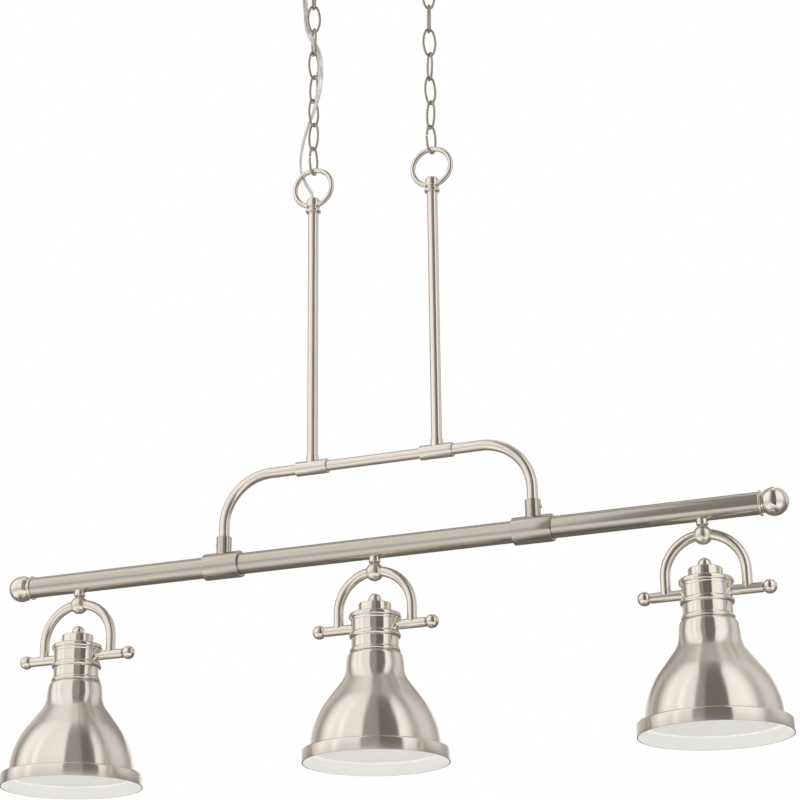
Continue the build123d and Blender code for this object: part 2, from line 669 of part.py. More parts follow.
def shade_lining(x):
    return sheet_of_revolution(x, SHADE_SHEET + FIT, SHADE_SHEET + FIT + LINING_SHEET)


def lampholder(x):
    floor = CROSSBAR_Z + CUP_BOTTOM + CUP_FLOOR
    holder = upright(HOLDER_D, HOLDER_BOTTOM, floor + FIT, x)
    holder += upright(HOLDER_FLANGE_D, floor, floor + HOLDER_FLANGE, x)
    return holder - upright(SOCKET_BORE_D + 2 * SHELL_SHEET + 2 * FIT, HOLDER_BOTTOM - 1,
                            HOLDER_BOTTOM + SOCKET_DEPTH, x)


def screw_shell(x):
    top = HOLDER_BOTTOM + SOCKET_DEPTH
    shell = upright(SOCKET_BORE_D + 2 * SHELL_SHEET, HOLDER_BOTTOM, top, x)
    shell -= upright(SOCKET_BORE_D, HOLDER_BOTTOM - 1, top - SHELL_SHEET, x)
    shell -= upright(CONTACT_D + 4 * FIT, HOLDER_BOTTOM, top + 1, x)
    return group([shell, upright(CONTACT_D, top - SHELL_SHEET, top, x)])


def ring_nut(x):
    top = SHADE_TOP - SHADE_SHEET - LINING_SHEET - 2 * FIT
    body = upright(RING_NUT_D, top - RING_NUT_HEIGHT, top, x)
    return body - upright(HOLDER_D + 2 * FIT, top - RING_NUT_HEIGHT - 1, top + 1, x)


# ---- cord and wires -----------------------------------------------------------------------
def supply_cord():
    points = [(CHAIN_XS[0] + dx, dy, RING_Z + dz) for dx, dy, dz in CORD_ROUTE]
    radii = corner_radii(points)
    print("supply cord radii:", [round(radius, 1) for radius in radii])
    return route_tube(points, CORD_D, radii)


def lead_wires():
    """Insulated wires from the left stem to the lamps, inside the tubes."""
    wires = []
    left = HANDLE_XS[0]
    floor_reach = MAIN_D / 2 - MAIN_WALL - FIT - LEAD_D / 2
    for side in (-1, 1):
        y = side * LEAD_PITCH / 2
        supply = [
            (CHAIN_XS[0], y, STEM_TOP),
            (CHAIN_XS[0], y, BAR_Z),
            (left, y, BAR_Z),
            (left, y, MAIN_Z),
            (LAMP_XS[-1] - NIPPLE_HEAD_D, y, MAIN_Z),
        ]
        bends = [LEAD_CORNER_R, HANDLE_BEND_R, LEAD_CORNER_R]
        wires.append(route_tube(supply, LEAD_D, bends))
        floor_y = side * FLOOR_LEAD_PITCH / 2
        wires.append(lengthwise(LEAD_D, LAMP_XS[0] + NIPPLE_HEAD_D, LAMP_XS[1] - NIPPLE_HEAD_D,
                                MAIN_Z - sqrt(floor_reach ** 2 - floor_y ** 2), floor_y))
    return group(wires)


# ---- write every node ---------------------------------------------------------------------
def all_nodes():
    nodes = {
        "ceiling_canopy": ceiling_canopy(),
        "mounting_bracket": mounting_bracket(),
        "canopy_screws": canopy_screws(),
        "ceiling_loops": ceiling_loops(),
        "loop_nuts": loop_nuts(),
        "cord_bushing": cord_bushing(),
        "top_links": top_links(),
        "left_chain": chain(CHAIN_XS[0], LEFT_LINK_TURNS),
        "right_chain": chain(CHAIN_XS[1], RIGHT_LINK_TURNS),
        "supply_cord": supply_cord(),
        "hanger_rings": hanger_rings(),
        "bead_collars": bead_collars(),
        "stems": stems(),
        "handle": handle(),
        "bar_sleeves": bar_sleeves(),
        "main_sleeves": main_sleeves(),
        "set_screws": set_screws(),
        "main_tube": main_tube(),
        "end_rings": end_rings(),
        "end_balls": end_balls(),
        "lead_wires": lead_wires(),
        "lamp_necks": lamp_necks(),
        "lamp_nipples": lamp_nipples(),
    }
    lamp_pieces = {
        "yoke_ball": yoke_ball,
        "yoke_arms": yoke_arms,
        "crossbar": crossbar,
        "crossbar_finials": crossbar_finials,
        "socket_cup": socket_cup,
        "cup_cap": cup_cap,
        "cap_finial": cap_finial,
        "shade": shade,
        "shade_lining": shade_lining,
        "lampholder": lampholder,
        "screw_shell": screw_shell,
        "ring_nut": ring_nut,
    }
    for number, x in enumerate(LAMP_XS, start=1):
        for piece, make in lamp_pieces.items():
            nodes[f"lamp_{number}_{piece}"] = make(x)
    return nodes


def main():
    os.makedirs("parts", exist_ok=True)
    for name, shape in all_nodes().items():
        export_step(shape, f"parts/{name}.step")


main()
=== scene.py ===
import math

import bpy
from mathutils import Matrix, Vector


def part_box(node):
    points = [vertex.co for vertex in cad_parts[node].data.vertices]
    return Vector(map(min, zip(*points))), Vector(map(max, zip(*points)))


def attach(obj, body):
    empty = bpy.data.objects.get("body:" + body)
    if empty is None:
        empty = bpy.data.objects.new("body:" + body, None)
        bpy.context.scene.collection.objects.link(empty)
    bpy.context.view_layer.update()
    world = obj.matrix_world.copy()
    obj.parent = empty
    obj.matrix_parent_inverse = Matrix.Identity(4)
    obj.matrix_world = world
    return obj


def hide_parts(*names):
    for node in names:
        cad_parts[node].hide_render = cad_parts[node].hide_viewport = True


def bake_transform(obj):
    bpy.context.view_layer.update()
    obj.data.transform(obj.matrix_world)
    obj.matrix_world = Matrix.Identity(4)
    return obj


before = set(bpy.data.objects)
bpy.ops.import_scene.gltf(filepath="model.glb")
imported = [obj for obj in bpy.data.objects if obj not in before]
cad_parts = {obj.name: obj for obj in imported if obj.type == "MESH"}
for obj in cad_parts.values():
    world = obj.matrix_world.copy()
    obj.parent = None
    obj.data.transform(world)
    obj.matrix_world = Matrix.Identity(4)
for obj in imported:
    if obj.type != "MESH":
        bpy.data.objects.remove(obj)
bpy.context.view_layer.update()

# A linear island pendant: three bell shades under a bar that hangs on two chains.
# Metres, in the part's own frame: the origin is on the ceiling, +Z is up, +X runs along the bar.

MM = 0.001

# ---- smoothness ------------------------------------------
TURNED_SIDES = 128
TUBE_SIDES = 48
WIRE_SIDES = 20
SHARP_EDGE = math.radians(32)
SAME_POINT = 1e-6

# ---- camera, at the photograph's viewing angle -----------
CAMERA_PLACE = (0.8343, -2.1548, -1.4910)
CAMERA_YAW = math.radians(-20.385)
CAMERA_PITCH = math.radians(20.32)
CAMERA_ROLL = math.radians(-0.684)
CAMERA_LENS = 93.23
CAMERA_SENSOR = 36.0


# ---- places, from the frame ------------------------------
def middle(node):
    low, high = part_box(node)
    return (low + high) / 2


# Sizes that also set a place, in millimetres.
YOKE_BALL_RADIUS = 10.7
HANDLE_BAR = 12.7
RING_RADIUS = 24.5
RING_WIRE_RADIUS = 3.0

LAMPS = (1, 2, 3)
LAMP_XS = {number: middle(f"lamp_{number}_shade").x for number in LAMPS}
MAIN_Z = middle("main_tube").z
CROSSBAR_Z = middle("lamp_1_crossbar").z
BALL_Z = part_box("lamp_1_yoke_ball")[0].z + YOKE_BALL_RADIUS * MM
SHADE_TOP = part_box("lamp_1_shade")[1].z
CANOPY_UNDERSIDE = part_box("ceiling_canopy")[0].z
RIGHT_CHAIN_X = middle("right_chain").x
CHAIN_XS = (-RIGHT_CHAIN_X, RIGHT_CHAIN_X)
HANDLE_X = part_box("handle")[1].x - HANDLE_BAR / 2 * MM
HANDLE_XS = (-HANDLE_X, HANDLE_X)
BAR_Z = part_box("handle")[1].z - HANDLE_BAR / 2 * MM
RING_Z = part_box("hanger_rings")[1].z - (RING_RADIUS + RING_WIRE_RADIUS) * MM
STEM_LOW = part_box("stems")[0].z
STEM_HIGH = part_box("stems")[1].z


# ---- modelling -------------------------------------------
def deselect_all():
    bpy.ops.object.select_all(action="DESELECT")


def select_only(piece):
    deselect_all()
    piece.select_set(True)
    bpy.context.view_layer.objects.active = piece


def start_edit(piece, name):
    piece.name = name
    piece.data.name = name
    bpy.ops.object.mode_set(mode="EDIT")
    bpy.ops.mesh.select_all(action="SELECT")


def end_edit(piece):
    bpy.ops.mesh.select_all(action="SELECT")
    bpy.ops.mesh.remove_doubles(threshold=SAME_POINT)
    bpy.ops.mesh.normals_make_consistent(inside=False)
    bpy.ops.object.mode_set(mode="OBJECT")
    return piece


def arc(centre, radius, start, end, steps):
    """Points of an arc in a turned outline, with angles in degrees from the radial direction."""
    points = []
    for step in range(steps + 1):
        angle = math.radians(start + (end - start) * step / steps)
        points.append((centre[0] + radius * math.cos(angle), centre[1] + radius * math.sin(angle)))
    return points


def turned(name, outline, sides=TURNED_SIDES, start_closed=False, end_closed=False):
    """A turned piece about Z: a circle, extruded and scaled through the outline's (radius, height)."""
    deselect_all()
    outline = [(radius * MM, height * MM) for radius, height in outline]
    radius, height = outline[0]
    fill = "NGON" if start_closed else "NOTHING"
    bpy.ops.mesh.primitive_circle_add(vertices=sides, radius=radius, fill_type=fill,
                                      location=(0, 0, height))
    piece = bpy.context.object
    start_edit(piece, name)
    for next_radius, next_height in outline[1:]:
        rise = (0, 0, next_height - height)
        bpy.ops.mesh.extrude_edges_move(TRANSFORM_OT_translate={"value": rise})
        grow = next_radius / radius
        bpy.ops.transform.resize(value=(grow, grow, 1), center_override=(0, 0, next_height))
        radius, height = next_radius, next_height
    if end_closed:
        bpy.ops.mesh.edge_face_add()
    return end_edit(piece)


def solid_of(name, outline, sides=TURNED_SIDES):
    """A turned piece that is closed at both of its ends."""
    return turned(name, outline, sides, start_closed=True, end_closed=True)


def bent_bar(name, diameter, start, heading, moves, sides=TUBE_SIDES, closed=True):
    """A round bar: a circle that is extruded along each straight run and spun round each bend.

    A move is ("run", vector) or ("bend", centre, axis, degrees, steps)."""
    deselect_all()
    turn = Vector((0, 0, 1)).rotation_difference(Vector(heading)).to_euler()
    fill = "NGON" if closed else "NOTHING"
    bpy.ops.mesh.primitive_circle_add(vertices=sides, radius=diameter / 2 * MM, fill_type=fill,
                                      location=[value * MM for value in start], rotation=turn)
    piece = bpy.context.object
    start_edit(piece, name)
    for move in moves:
        if move[0] == "run":
            step = [value * MM for value in move[1]]
            bpy.ops.mesh.extrude_edges_move(TRANSFORM_OT_translate={"value": step})
        else:
            centre, axis, degrees, steps = move[1:]
            centre = [value * MM for value in centre]
            bpy.ops.mesh.spin(steps=steps, angle=-math.radians(degrees), center=centre, axis=axis)
    if closed:
        bpy.ops.mesh.edge_face_add()
    return end_edit(piece)


def apply_place(piece):
    """Moves a piece's place into its mesh."""
    select_only(piece)
    bpy.ops.object.transform_apply(location=True, rotation=True, scale=True)
    return piece


def put(piece, place, turn=(0, 0, 0)):
    """Turns a piece that was made about the origin, then moves it to its place."""
    apply_place(piece)
    piece.rotation_euler = [math.radians(angle) for angle in turn]
    piece.location = place
    return apply_place(piece)


def copy_at(piece, place, turn=(0, 0, 0)):
    """A copy with its own mesh, turned and placed."""
    twin = piece.copy()
    twin.data = piece.data.copy()
    bpy.context.scene.collection.objects.link(twin)
    return put(twin, place, turn)


def remove(piece):
    bpy.data.objects.remove(piece)


def join(name, pieces):
    deselect_all()
    for piece in pieces:
        piece.select_set(True)
    bpy.context.view_layer.objects.active = pieces[0]
    if len(pieces) > 1:
        bpy.ops.object.join()
    whole = pieces[0]
    whole.name = name
    whole.data.name = name
    return whole


def pair_at(name, piece, xs, height, left_turn=(0, 0, 0), right_turn=(0, 0, 0)):
    """The piece at the right one of two places along X, joined to its copy at the left one."""
    left = copy_at(piece, (xs[0], 0, height), left_turn)
    put(piece, (xs[1], 0, height), right_turn)
    return join(name, [piece, left])


def apply_modifiers(piece):
    select_only(piece)
    for modifier in list(piece.modifiers):
        bpy.ops.object.modifier_apply(modifier=modifier.name)


def bevel(piece, width, segments, angle):
    """Rounds a piece's sharp edges."""
    rounding = piece.modifiers.new("edges", "BEVEL")
    rounding.width = width
    rounding.segments = segments
    rounding.limit_method = "ANGLE"
    rounding.angle_limit = math.radians(angle)
    apply_modifiers(piece)
    return piece


def thicken(piece, wall):
    """Gives a turned skin its wall, on the inner side."""
    sheet = piece.modifiers.new("wall", "SOLIDIFY")
    sheet.thickness = wall
    sheet.offset = -1
    sheet.use_even_offset = True
    apply_modifiers(piece)
    return piece


def finish_piece(piece, body, slot, material, *nodes):
    """Smooths a piece, gives it its finish and its body, and hides the solids it stands for.
    A piece that bends between two bodies is given none here."""
    select_only(piece)
    bpy.ops.object.shade_smooth_by_angle(angle=SHARP_EDGE)
    piece.data.materials.clear()
    piece.data.materials.append(material)
    if body:
        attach(piece, body)
    if nodes:
        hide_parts(*nodes)
    return piece


def lamp_piece(piece, number, part, height, slot, material, node, turn=(0, 0, 0)):
    """Places a lamp's piece over its height on the lamp's axis and finishes it, on its yoke or its head."""
    put(piece, (LAMP_XS[number], 0, height), turn)
    return finish_piece(piece, f"lamp_{number}_{part}", slot, material, f"lamp_{number}_{node}")


# ---- finishes --------------------------------------------
NICKEL = (0.82, 0.765, 0.693)
# The chain's nickel is a darker, warmer copy of the nickel colour: painted shade for the darker look of its
# thin links.
WARM_SHADED_NICKEL = (0.50, 0.453, 0.39)
# The main tube's nickel is a darker copy of the nickel colour: painted shade for the tube's darker look.
# Its satin finish is only the roughness.
SHADED_TUBE_NICKEL = (0.575, 0.532, 0.472)
LINE_FINENESS = 1800
LINE_SQUEEZE = 0.02
LINE_SHARE = 0.6
LINE_DEPTH = 0.0002
CLOUD_SHARE = 0.4
CLOUD_SCALE = 22.0
GLOSS_RANGE = (0.94, 1.08)
QUARTER_TURN = 0.25
PEEL_SCALE = 420.0
PEEL_STRENGTH = 0.05
PEEL_DEPTH = 0.0003
ENAMEL_CLOUD_SCALE = 14.0
ENAMEL_DARKEST = 0.97


def connect(source, target):
    target.id_data.links.new(source, target)


def add_node(nodes, kind, inputs):
    """A shader node with plain values set on its inputs."""
    node = nodes.new(f"ShaderNode{kind}")
    for name, value in inputs.items():
        node.inputs[name].default_value = value
    return node


def new_material(name):
    material = bpy.data.materials.new(name)
    material.use_nodes = True
    nodes = material.node_tree.nodes
    shader = nodes["Principled BSDF"]
    return material, nodes, shader


def noise_at(nodes, place, scale, detail=2.0, rough=0.5):
    texture = add_node(nodes, "TexNoise", {"Scale": scale, "Detail": detail, "Roughness": rough})
    connect(place, texture.inputs["Vector"])
    return texture.outputs["Fac"]


def spread(nodes, value, low, high):
    """Spreads a texture's middle values over the range low to high."""
    limits = {"From Min": 0.3, "From Max": 0.7, "To Min": low, "To Max": high}
    stretch = add_node(nodes, "MapRange", limits)
    connect(value, stretch.inputs["Value"])
    return stretch.outputs["Result"]


def reckon(nodes, operation, *values):
    """One step of arithmetic on sockets and plain numbers."""
    step = nodes.new("ShaderNodeMath")
    step.operation = operation
    for socket, value in zip(step.inputs, values):
        if isinstance(value, (int, float)):
            socket.default_value = value
        else:
            connect(value, socket)
    return step.outputs["Value"]


def length_of(nodes, vector):
    reach = nodes.new("ShaderNodeVectorMath")
    reach.operation = "LENGTH"
    connect(vector, reach.inputs[0])
    return reach.outputs["Value"]


def two_tones(nodes, shader, share, first, second):
    tone = nodes.new("ShaderNodeMix")
    tone.data_type = "RGBA"
    tone.inputs["A"].default_value = [*first, 1]
    tone.inputs["B"].default_value = [*second, 1]
    connect(share, tone.inputs["Factor"])
    connect(tone.outputs["Result"], shader.inputs["Base Color"])


def relief(nodes, shader, height, strength, depth):
    bump = add_node(nodes, "Bump", {"Strength": strength, "Distance": depth})
    connect(height, bump.inputs["Height"])
    connect(bump.outputs["Normal"], shader.inputs["Normal"])


def line_coordinates(nodes, along, centre):
    """Coordinates squeezed so that a noise draws fine lines along X or Z, or round a turned piece."""
    place = nodes.new("ShaderNodeTexCoord")
    move = add_node(nodes, "Mapping", {"Location": [-value for value in centre]})
    connect(place.outputs["Object"], move.inputs["Vector"])
    if along in ("X", "Z"):
        scale = (LINE_SQUEEZE, 1, 1) if along == "X" else (1, 1, LINE_SQUEEZE)
        squeeze = add_node(nodes, "Mapping", {"Scale": scale})
        connect(move.outputs["Vector"], squeeze.inputs["Vector"])
        return squeeze.outputs["Vector"], move.outputs["Vector"]
    apart = nodes.new("ShaderNodeSeparateXYZ")
    connect(move.outputs["Vector"], apart.inputs["Vector"])
    flat = nodes.new("ShaderNodeCombineXYZ")
    connect(apart.outputs["X"], flat.inputs["X"])
    connect(apart.outputs["Y"], flat.inputs["Y"])
    rings = nodes.new("ShaderNodeCombineXYZ")
    connect(length_of(nodes, flat.outputs["Vector"]), rings.inputs["X"])
    connect(apart.outputs["Z"], rings.inputs["Z"])
    return rings.outputs["Vector"], move.outputs["Vector"]


def stretch_gloss(nodes, shader, along, plain_at, amount):
    """Stretches reflections across the finishing lines, as brushed and spun metal does."""
    if along == "round":
        line_way = nodes.new("ShaderNodeVectorMath")
        line_way.operation = "CROSS_PRODUCT"
        line_way.inputs[0].default_value = (0, 0, 1)
        connect(plain_at, line_way.inputs[1])
        way = line_way.outputs["Vector"]
    else:
        fixed = nodes.new("ShaderNodeCombineXYZ")
        fixed.inputs[along].default_value = 1
        way = fixed.outputs["Vector"]
    turned_way = nodes.new("ShaderNodeVectorTransform")
    turned_way.vector_type = "VECTOR"
    turned_way.convert_from = "OBJECT"
    turned_way.convert_to = "WORLD"
    connect(way, turned_way.inputs["Vector"])
    connect(turned_way.outputs["Vector"], shader.inputs["Tangent"])
    shader.inputs["Anisotropic"].default_value = amount
    shader.inputs["Anisotropic Rotation"].default_value = QUARTER_TURN


def nickel(name, color, roughness, along="Z", centre=(0, 0, 0), grain=0.05, bump=0.02, stretch=0.0):
    """Nickel plate with fine finishing lines and faint broad clouds in its tone and gloss."""
    material, nodes, shader = new_material(name)
    lines_at, plain_at = line_coordinates(nodes, along, centre)
    if stretch:
        stretch_gloss(nodes, shader, along, plain_at, stretch)
    lines = noise_at(nodes, lines_at, LINE_FINENESS, 3.0, 0.6)
    clouds = noise_at(nodes, plain_at, CLOUD_SCALE, 3.0, 0.55)
    wear = reckon(nodes, "ADD", spread(nodes, lines, 0.0, LINE_SHARE),
                  spread(nodes, clouds, 0.0, CLOUD_SHARE))
    two_tones(nodes, shader, wear, [value * (1 - grain) for value in color],
              [min(1, value * (1 + grain)) for value in color])
    low, high = GLOSS_RANGE
    gloss = spread(nodes, wear, roughness * low, roughness * high)
    connect(gloss, shader.inputs["Roughness"])
    relief(nodes, shader, lines, bump, LINE_DEPTH)
    shader.inputs["Metallic"].default_value = 1.0
    return material


def enamel(name, color, roughness):
    """Sprayed enamel with a slight orange peel."""
    material, nodes, shader = new_material(name)
    place = nodes.new("ShaderNodeTexCoord").outputs["Object"]
    peel = noise_at(nodes, place, PEEL_SCALE)
    clouds = noise_at(nodes, place, ENAMEL_CLOUD_SCALE)
    two_tones(nodes, shader, clouds, [value * ENAMEL_DARKEST for value in color], color)
    relief(nodes, shader, peel, PEEL_STRENGTH, PEEL_DEPTH)
    shader.inputs["Roughness"].default_value = roughness
    return material


# ---- camera ----------------------------------------------
def camera():
    lens = bpy.data.cameras.new("camera")
    lens.lens = CAMERA_LENS
    lens.sensor_width = CAMERA_SENSOR
    lens.clip_end = 50
    stand = bpy.data.objects.new("camera", lens)
    bpy.context.scene.collection.objects.link(stand)
    stand.matrix_world = (Matrix.Translation(CAMERA_PLACE)
                          @ Matrix.Rotation(-CAMERA_YAW, 4, "Z")
                          @ Matrix.Rotation(math.pi / 2 + CAMERA_PITCH, 4, "X")
                          @ Matrix.Rotation(CAMERA_ROLL, 4, "Z"))
    bpy.context.scene.camera = stand


# Outlines are in millimetres, as (radius from the axis, height above the piece's own origin).
# ---- shade -----------------------------------------------
SHADE_HEIGHT = 124.0
TOP_HOLE_RADIUS = 19.8
SHOULDER_RADIUS = 32.2
SHOULDER_ROUND = 5.0
NECK_RADIUS = 33.3
NECK_DROP = 14.6
FLARE_ROUND = 32.0
BELL_ROUND = 90.0
BELL_RADIUS = 73.8
BAND_RADIUS = 83.3
BAND_HEIGHT = 15.1
BAND_ROUND = 2.5
SHADE_WALL = 1.2
LINING_INSET = 1.3
LINING_WALL = 0.6


def shade_outline(inset):
    """From the top hole over the shoulder, down the flared neck and the bell to the rim band."""
    flare = (NECK_RADIUS + FLARE_ROUND, -NECK_DROP)
    bell = (BELL_RADIUS - BELL_ROUND, BAND_HEIGHT - SHADE_HEIGHT)
    flare_round = FLARE_ROUND + inset
    bell_round = BELL_ROUND - inset
    run, drop = flare[0] - bell[0], flare[1] - bell[1]
    meeting = math.acos((bell_round + flare_round) / math.hypot(run, drop))
    lean = math.degrees(math.atan2(drop, run) - meeting)
    shoulder = (SHOULDER_RADIUS - SHOULDER_ROUND, -SHOULDER_ROUND)
    ledge = bell[1] - inset
    band_round = BAND_ROUND - min(inset, BAND_ROUND / 2)
    band = (BAND_RADIUS - inset - band_round, ledge - band_round)
    outline = [(TOP_HOLE_RADIUS, -inset)]
    outline += arc(shoulder, SHOULDER_ROUND - inset, 90, 0, 6)
    outline += arc(flare, flare_round, 180, 180 + lean, 24)
    outline += arc(bell, bell_round, lean, 0, 40)
    outline += [(BELL_RADIUS - inset, ledge - 0.01)]
    outline += arc(band, band_round, 90, 0, 6)
    outline += [(BAND_RADIUS - inset, -SHADE_HEIGHT)]
    return outline


def shade(number, finish):
    skin = turned(f"lamp_{number}_bell_shade", shade_outline(0))
    thicken(skin, SHADE_WALL * MM)
    bevel(skin, 0.35 * MM, 2, 60)
    return lamp_piece(skin, number, "head", SHADE_TOP, "brushed_nickel", finish, "shade")


def lining(number, finish):
    skin = turned(f"lamp_{number}_white_inside", shade_outline(LINING_INSET))
    thicken(skin, LINING_WALL * MM)
    return lamp_piece(skin, number, "head", SHADE_TOP, "shade_white", finish, "shade_lining")


# ---- socket cup and its cap, about the crossbar's axis ---
CUP_TOP = 16.4
CUP_BOTTOM = -31.4
CUP_LIP_RADIUS = 30.3
CUP_LIP_ROUND = 2.6
CUP_LIP_TOP = 15.0
CUP_LIP_BOTTOM = 8.6
CUP_LIP_COVE = 3.6
CUP_UPPER_RADIUS = 27.7
CUP_LOWER_RADIUS = 27.2
CUP_BORE_RADIUS = 24.5
MID_BEAD = (26.4, -10.6)
MID_BEAD_ROUND = 3.6
LOW_BEAD = (26.45, -28.4)
LOW_BEAD_ROUND = 2.95
CAP_RADIUS = 19.1
CAP_HEIGHT = 10.7
CAP_ROUND = 1.6
CAP_BALL_RADIUS = 7.8
CAP_BALL_RISE = 4.2
STUD_RADIUS = 2.6
CUP_FLOOR = 1.5
CUP_ROOF = 4


def socket_cup(number, finish):
    lip_in = CUP_LIP_RADIUS - CUP_LIP_ROUND
    cove = CUP_LIP_COVE
    outline = [(STUD_RADIUS, CUP_TOP), (CAP_RADIUS + 0.8, CUP_TOP)]
    outline += arc((lip_in, CUP_LIP_TOP - CUP_LIP_ROUND), CUP_LIP_ROUND, 80, 0, 8)
    outline += arc((lip_in, CUP_LIP_BOTTOM + CUP_LIP_ROUND), CUP_LIP_ROUND, 0, -70, 8)
    outline += arc((CUP_UPPER_RADIUS + cove, CUP_LIP_BOTTOM - cove), cove, 140, 180, 6)
    outline += bead_outline(MID_BEAD, MID_BEAD_ROUND, CUP_UPPER_RADIUS, CUP_LOWER_RADIUS)
    outline += bead_outline(LOW_BEAD, LOW_BEAD_ROUND, CUP_LOWER_RADIUS, CUP_LOWER_RADIUS)
    outline += [(CUP_LOWER_RADIUS, CUP_BOTTOM), (TOP_HOLE_RADIUS, CUP_BOTTOM)]
    outline += [(TOP_HOLE_RADIUS, CUP_BOTTOM + CUP_FLOOR), (CUP_BORE_RADIUS, CUP_BOTTOM + CUP_FLOOR)]
    roof = CUP_TOP - CUP_ROOF
    outline += [(CUP_BORE_RADIUS, roof), (STUD_RADIUS, roof), (STUD_RADIUS, CUP_TOP)]
    cup = turned(f"lamp_{number}_beaded_cup", outline)
    return lamp_piece(cup, number, "head", CROSSBAR_Z, "polished_nickel", finish, "socket_cup")


def bead_outline(centre, rounding, above, below):
    """A rolled bead between the cylinders above and below it, with a fine groove at its top."""
    start = math.degrees(math.acos((above - centre[0]) / rounding))
    end = math.degrees(math.acos((below - centre[0]) / rounding))
    top = centre[1] + rounding * math.sin(math.radians(start))
    groove = [(above, top + 0.7), (above - 0.3, top + 0.4), (above - 0.3, top + 0.1)]
    return groove + arc(centre, rounding, start, -end, 18)


def cup_cap(number, finish):
    top = CUP_TOP + CAP_HEIGHT
    outline = [(CAP_RADIUS - 0.4, CUP_TOP), (CAP_RADIUS, CUP_TOP + 0.4)]
    outline += arc((CAP_RADIUS - CAP_ROUND, top - CAP_ROUND), CAP_ROUND, 0, 90, 7)
    outline += [(STUD_RADIUS, top)]
    cap = solid_of(f"lamp_{number}_domed_cap", outline)
    return lamp_piece(cap, number, "head", CROSSBAR_Z, "polished_nickel", finish, "cup_cap")


def cap_finial(number, finish):
    top = CUP_TOP + CAP_HEIGHT
    outline = [(STUD_RADIUS, CUP_TOP - CUP_ROOF), (STUD_RADIUS, top - 0.5)]
    outline += arc((0, top + CAP_BALL_RISE), CAP_BALL_RADIUS, -28, 88, 28)
    finial = solid_of(f"lamp_{number}_cap_ball", outline, 64)
    return lamp_piece(finial, number, "head", CROSSBAR_Z, "polished_nickel", finish, "cap_finial")


# ---- lampholder, inside the shade ------------------------
HOLDER_RADIUS = 18.5
HOLDER_REACH = 48.6
HOLDER_BORE_RADIUS = 14.0
HOLDER_FLANGE_RADIUS = 23.5
HOLDER_FLANGE_LOW = 1.6
HOLDER_TOP = 4.6
HOLDER_RIBS = 5
HOLDER_RIB_STEP = 5
HOLDER_GROOVE = 0.8
SCREW_RADIUS = 13.3
SCREW_DEPTH = 26.4
SCREW_PITCH = 3.6
SCREW_RIDGE = 0.45
RING_NUT_RADIUS = 25.0
RING_NUT_HEIGHT = 5.0


def lampholder(number, finish):
    outline = [(HOLDER_FLANGE_RADIUS, HOLDER_FLANGE_LOW), (HOLDER_FLANGE_RADIUS, HOLDER_TOP)]
    outline += [(HOLDER_BORE_RADIUS, HOLDER_TOP), (HOLDER_BORE_RADIUS, SCREW_DEPTH + 0.6 - HOLDER_REACH)]
    outline += [(HOLDER_BORE_RADIUS, -HOLDER_REACH)]
    outline += arc((HOLDER_RADIUS - 1.5, -HOLDER_REACH + 1.5), 1.5, -90, 0, 4)
    groove = HOLDER_RADIUS - HOLDER_GROOVE
    for rib in range(HOLDER_RIBS):
        low = -HOLDER_REACH + 6 + rib * HOLDER_RIB_STEP
        outline += [(HOLDER_RADIUS, low), (groove, low + HOLDER_GROOVE), (groove, low + 2)]
        outline += [(HOLDER_RADIUS, low + 2.8)]
    outline += [(HOLDER_RADIUS, HOLDER_FLANGE_LOW), (HOLDER_FLANGE_RADIUS, HOLDER_FLANGE_LOW)]
    holder = turned(f"lamp_{number}_holder", outline, 96)
    return lamp_piece(holder, number, "head", SHADE_TOP, "holder_white", finish, "lampholder")


def screw_shell(number, finish):
    outline = [(SCREW_RADIUS + 0.55, -HOLDER_REACH)]
    steps = 10
    turns = int(SCREW_DEPTH / SCREW_PITCH)
    for step in range(turns * steps + 1):
        swell = SCREW_RIDGE * (math.cos(2 * math.pi * step / steps) - 1)
        outline.append((SCREW_RADIUS + swell / 2 + 0.2, -HOLDER_REACH + SCREW_PITCH * step / steps))
    outline += [(SCREW_RADIUS, SCREW_DEPTH - HOLDER_REACH), (4.4, SCREW_DEPTH - HOLDER_REACH)]
    shell = turned(f"lamp_{number}_shell", outline, 96, end_closed=True)
    return lamp_piece(shell, number, "head", SHADE_TOP, "brass", finish, "screw_shell")


def ring_nut(number, finish):
    top = -SHADE_WALL - LINING_WALL - 0.2
    outline = [(HOLDER_RADIUS + 0.1, top), (RING_NUT_RADIUS - 0.5, top), (RING_NUT_RADIUS, top - 0.5)]
    outline += [(RING_NUT_RADIUS, top - 4), (RING_NUT_RADIUS - 1, top - RING_NUT_HEIGHT)]
    outline += [(HOLDER_RADIUS + 0.1, top - RING_NUT_HEIGHT), (HOLDER_RADIUS + 0.1, top)]
    nut = turned(f"lamp_{number}_clamping_nut", outline, 96)
    return lamp_piece(nut, number, "head", SHADE_TOP, "zinc_steel", finish, "ring_nut")


# ---- yoke ------------------------------------------------
YOKE_BAR = 11.5
YOKE_ARM_X = 45.0
YOKE_ARCH_RISE = 20.6
CROSSBAR_REACH = 62.1
FINIAL_REACH = 69.0
FINIAL_RADIUS = 8.0


def yoke_ball(number, finish):
    outline = arc((0, 0), YOKE_BALL_RADIUS, -88, 70, 48)
    sphere = solid_of(f"lamp_{number}_swivel_ball", outline, 96)
    return lamp_piece(sphere, number, "yoke", BALL_Z, "polished_nickel", finish, "yoke_ball")


def yoke_arms(number, finish):
    moves = [
        ("run", (0, 0, YOKE_ARCH_RISE)),
        ("bend", (0, 0, YOKE_ARCH_RISE), (0, 1, 0), 180, 64),
        ("run", (0, 0, -YOKE_ARCH_RISE)),
    ]
    arch = bent_bar(f"lamp_{number}_arched_arms", YOKE_BAR, (-YOKE_ARM_X, 0, 0), (0, 0, 1), moves)
    return lamp_piece(arch, number, "yoke", CROSSBAR_Z, "brushed_nickel", finish, "yoke_arms")


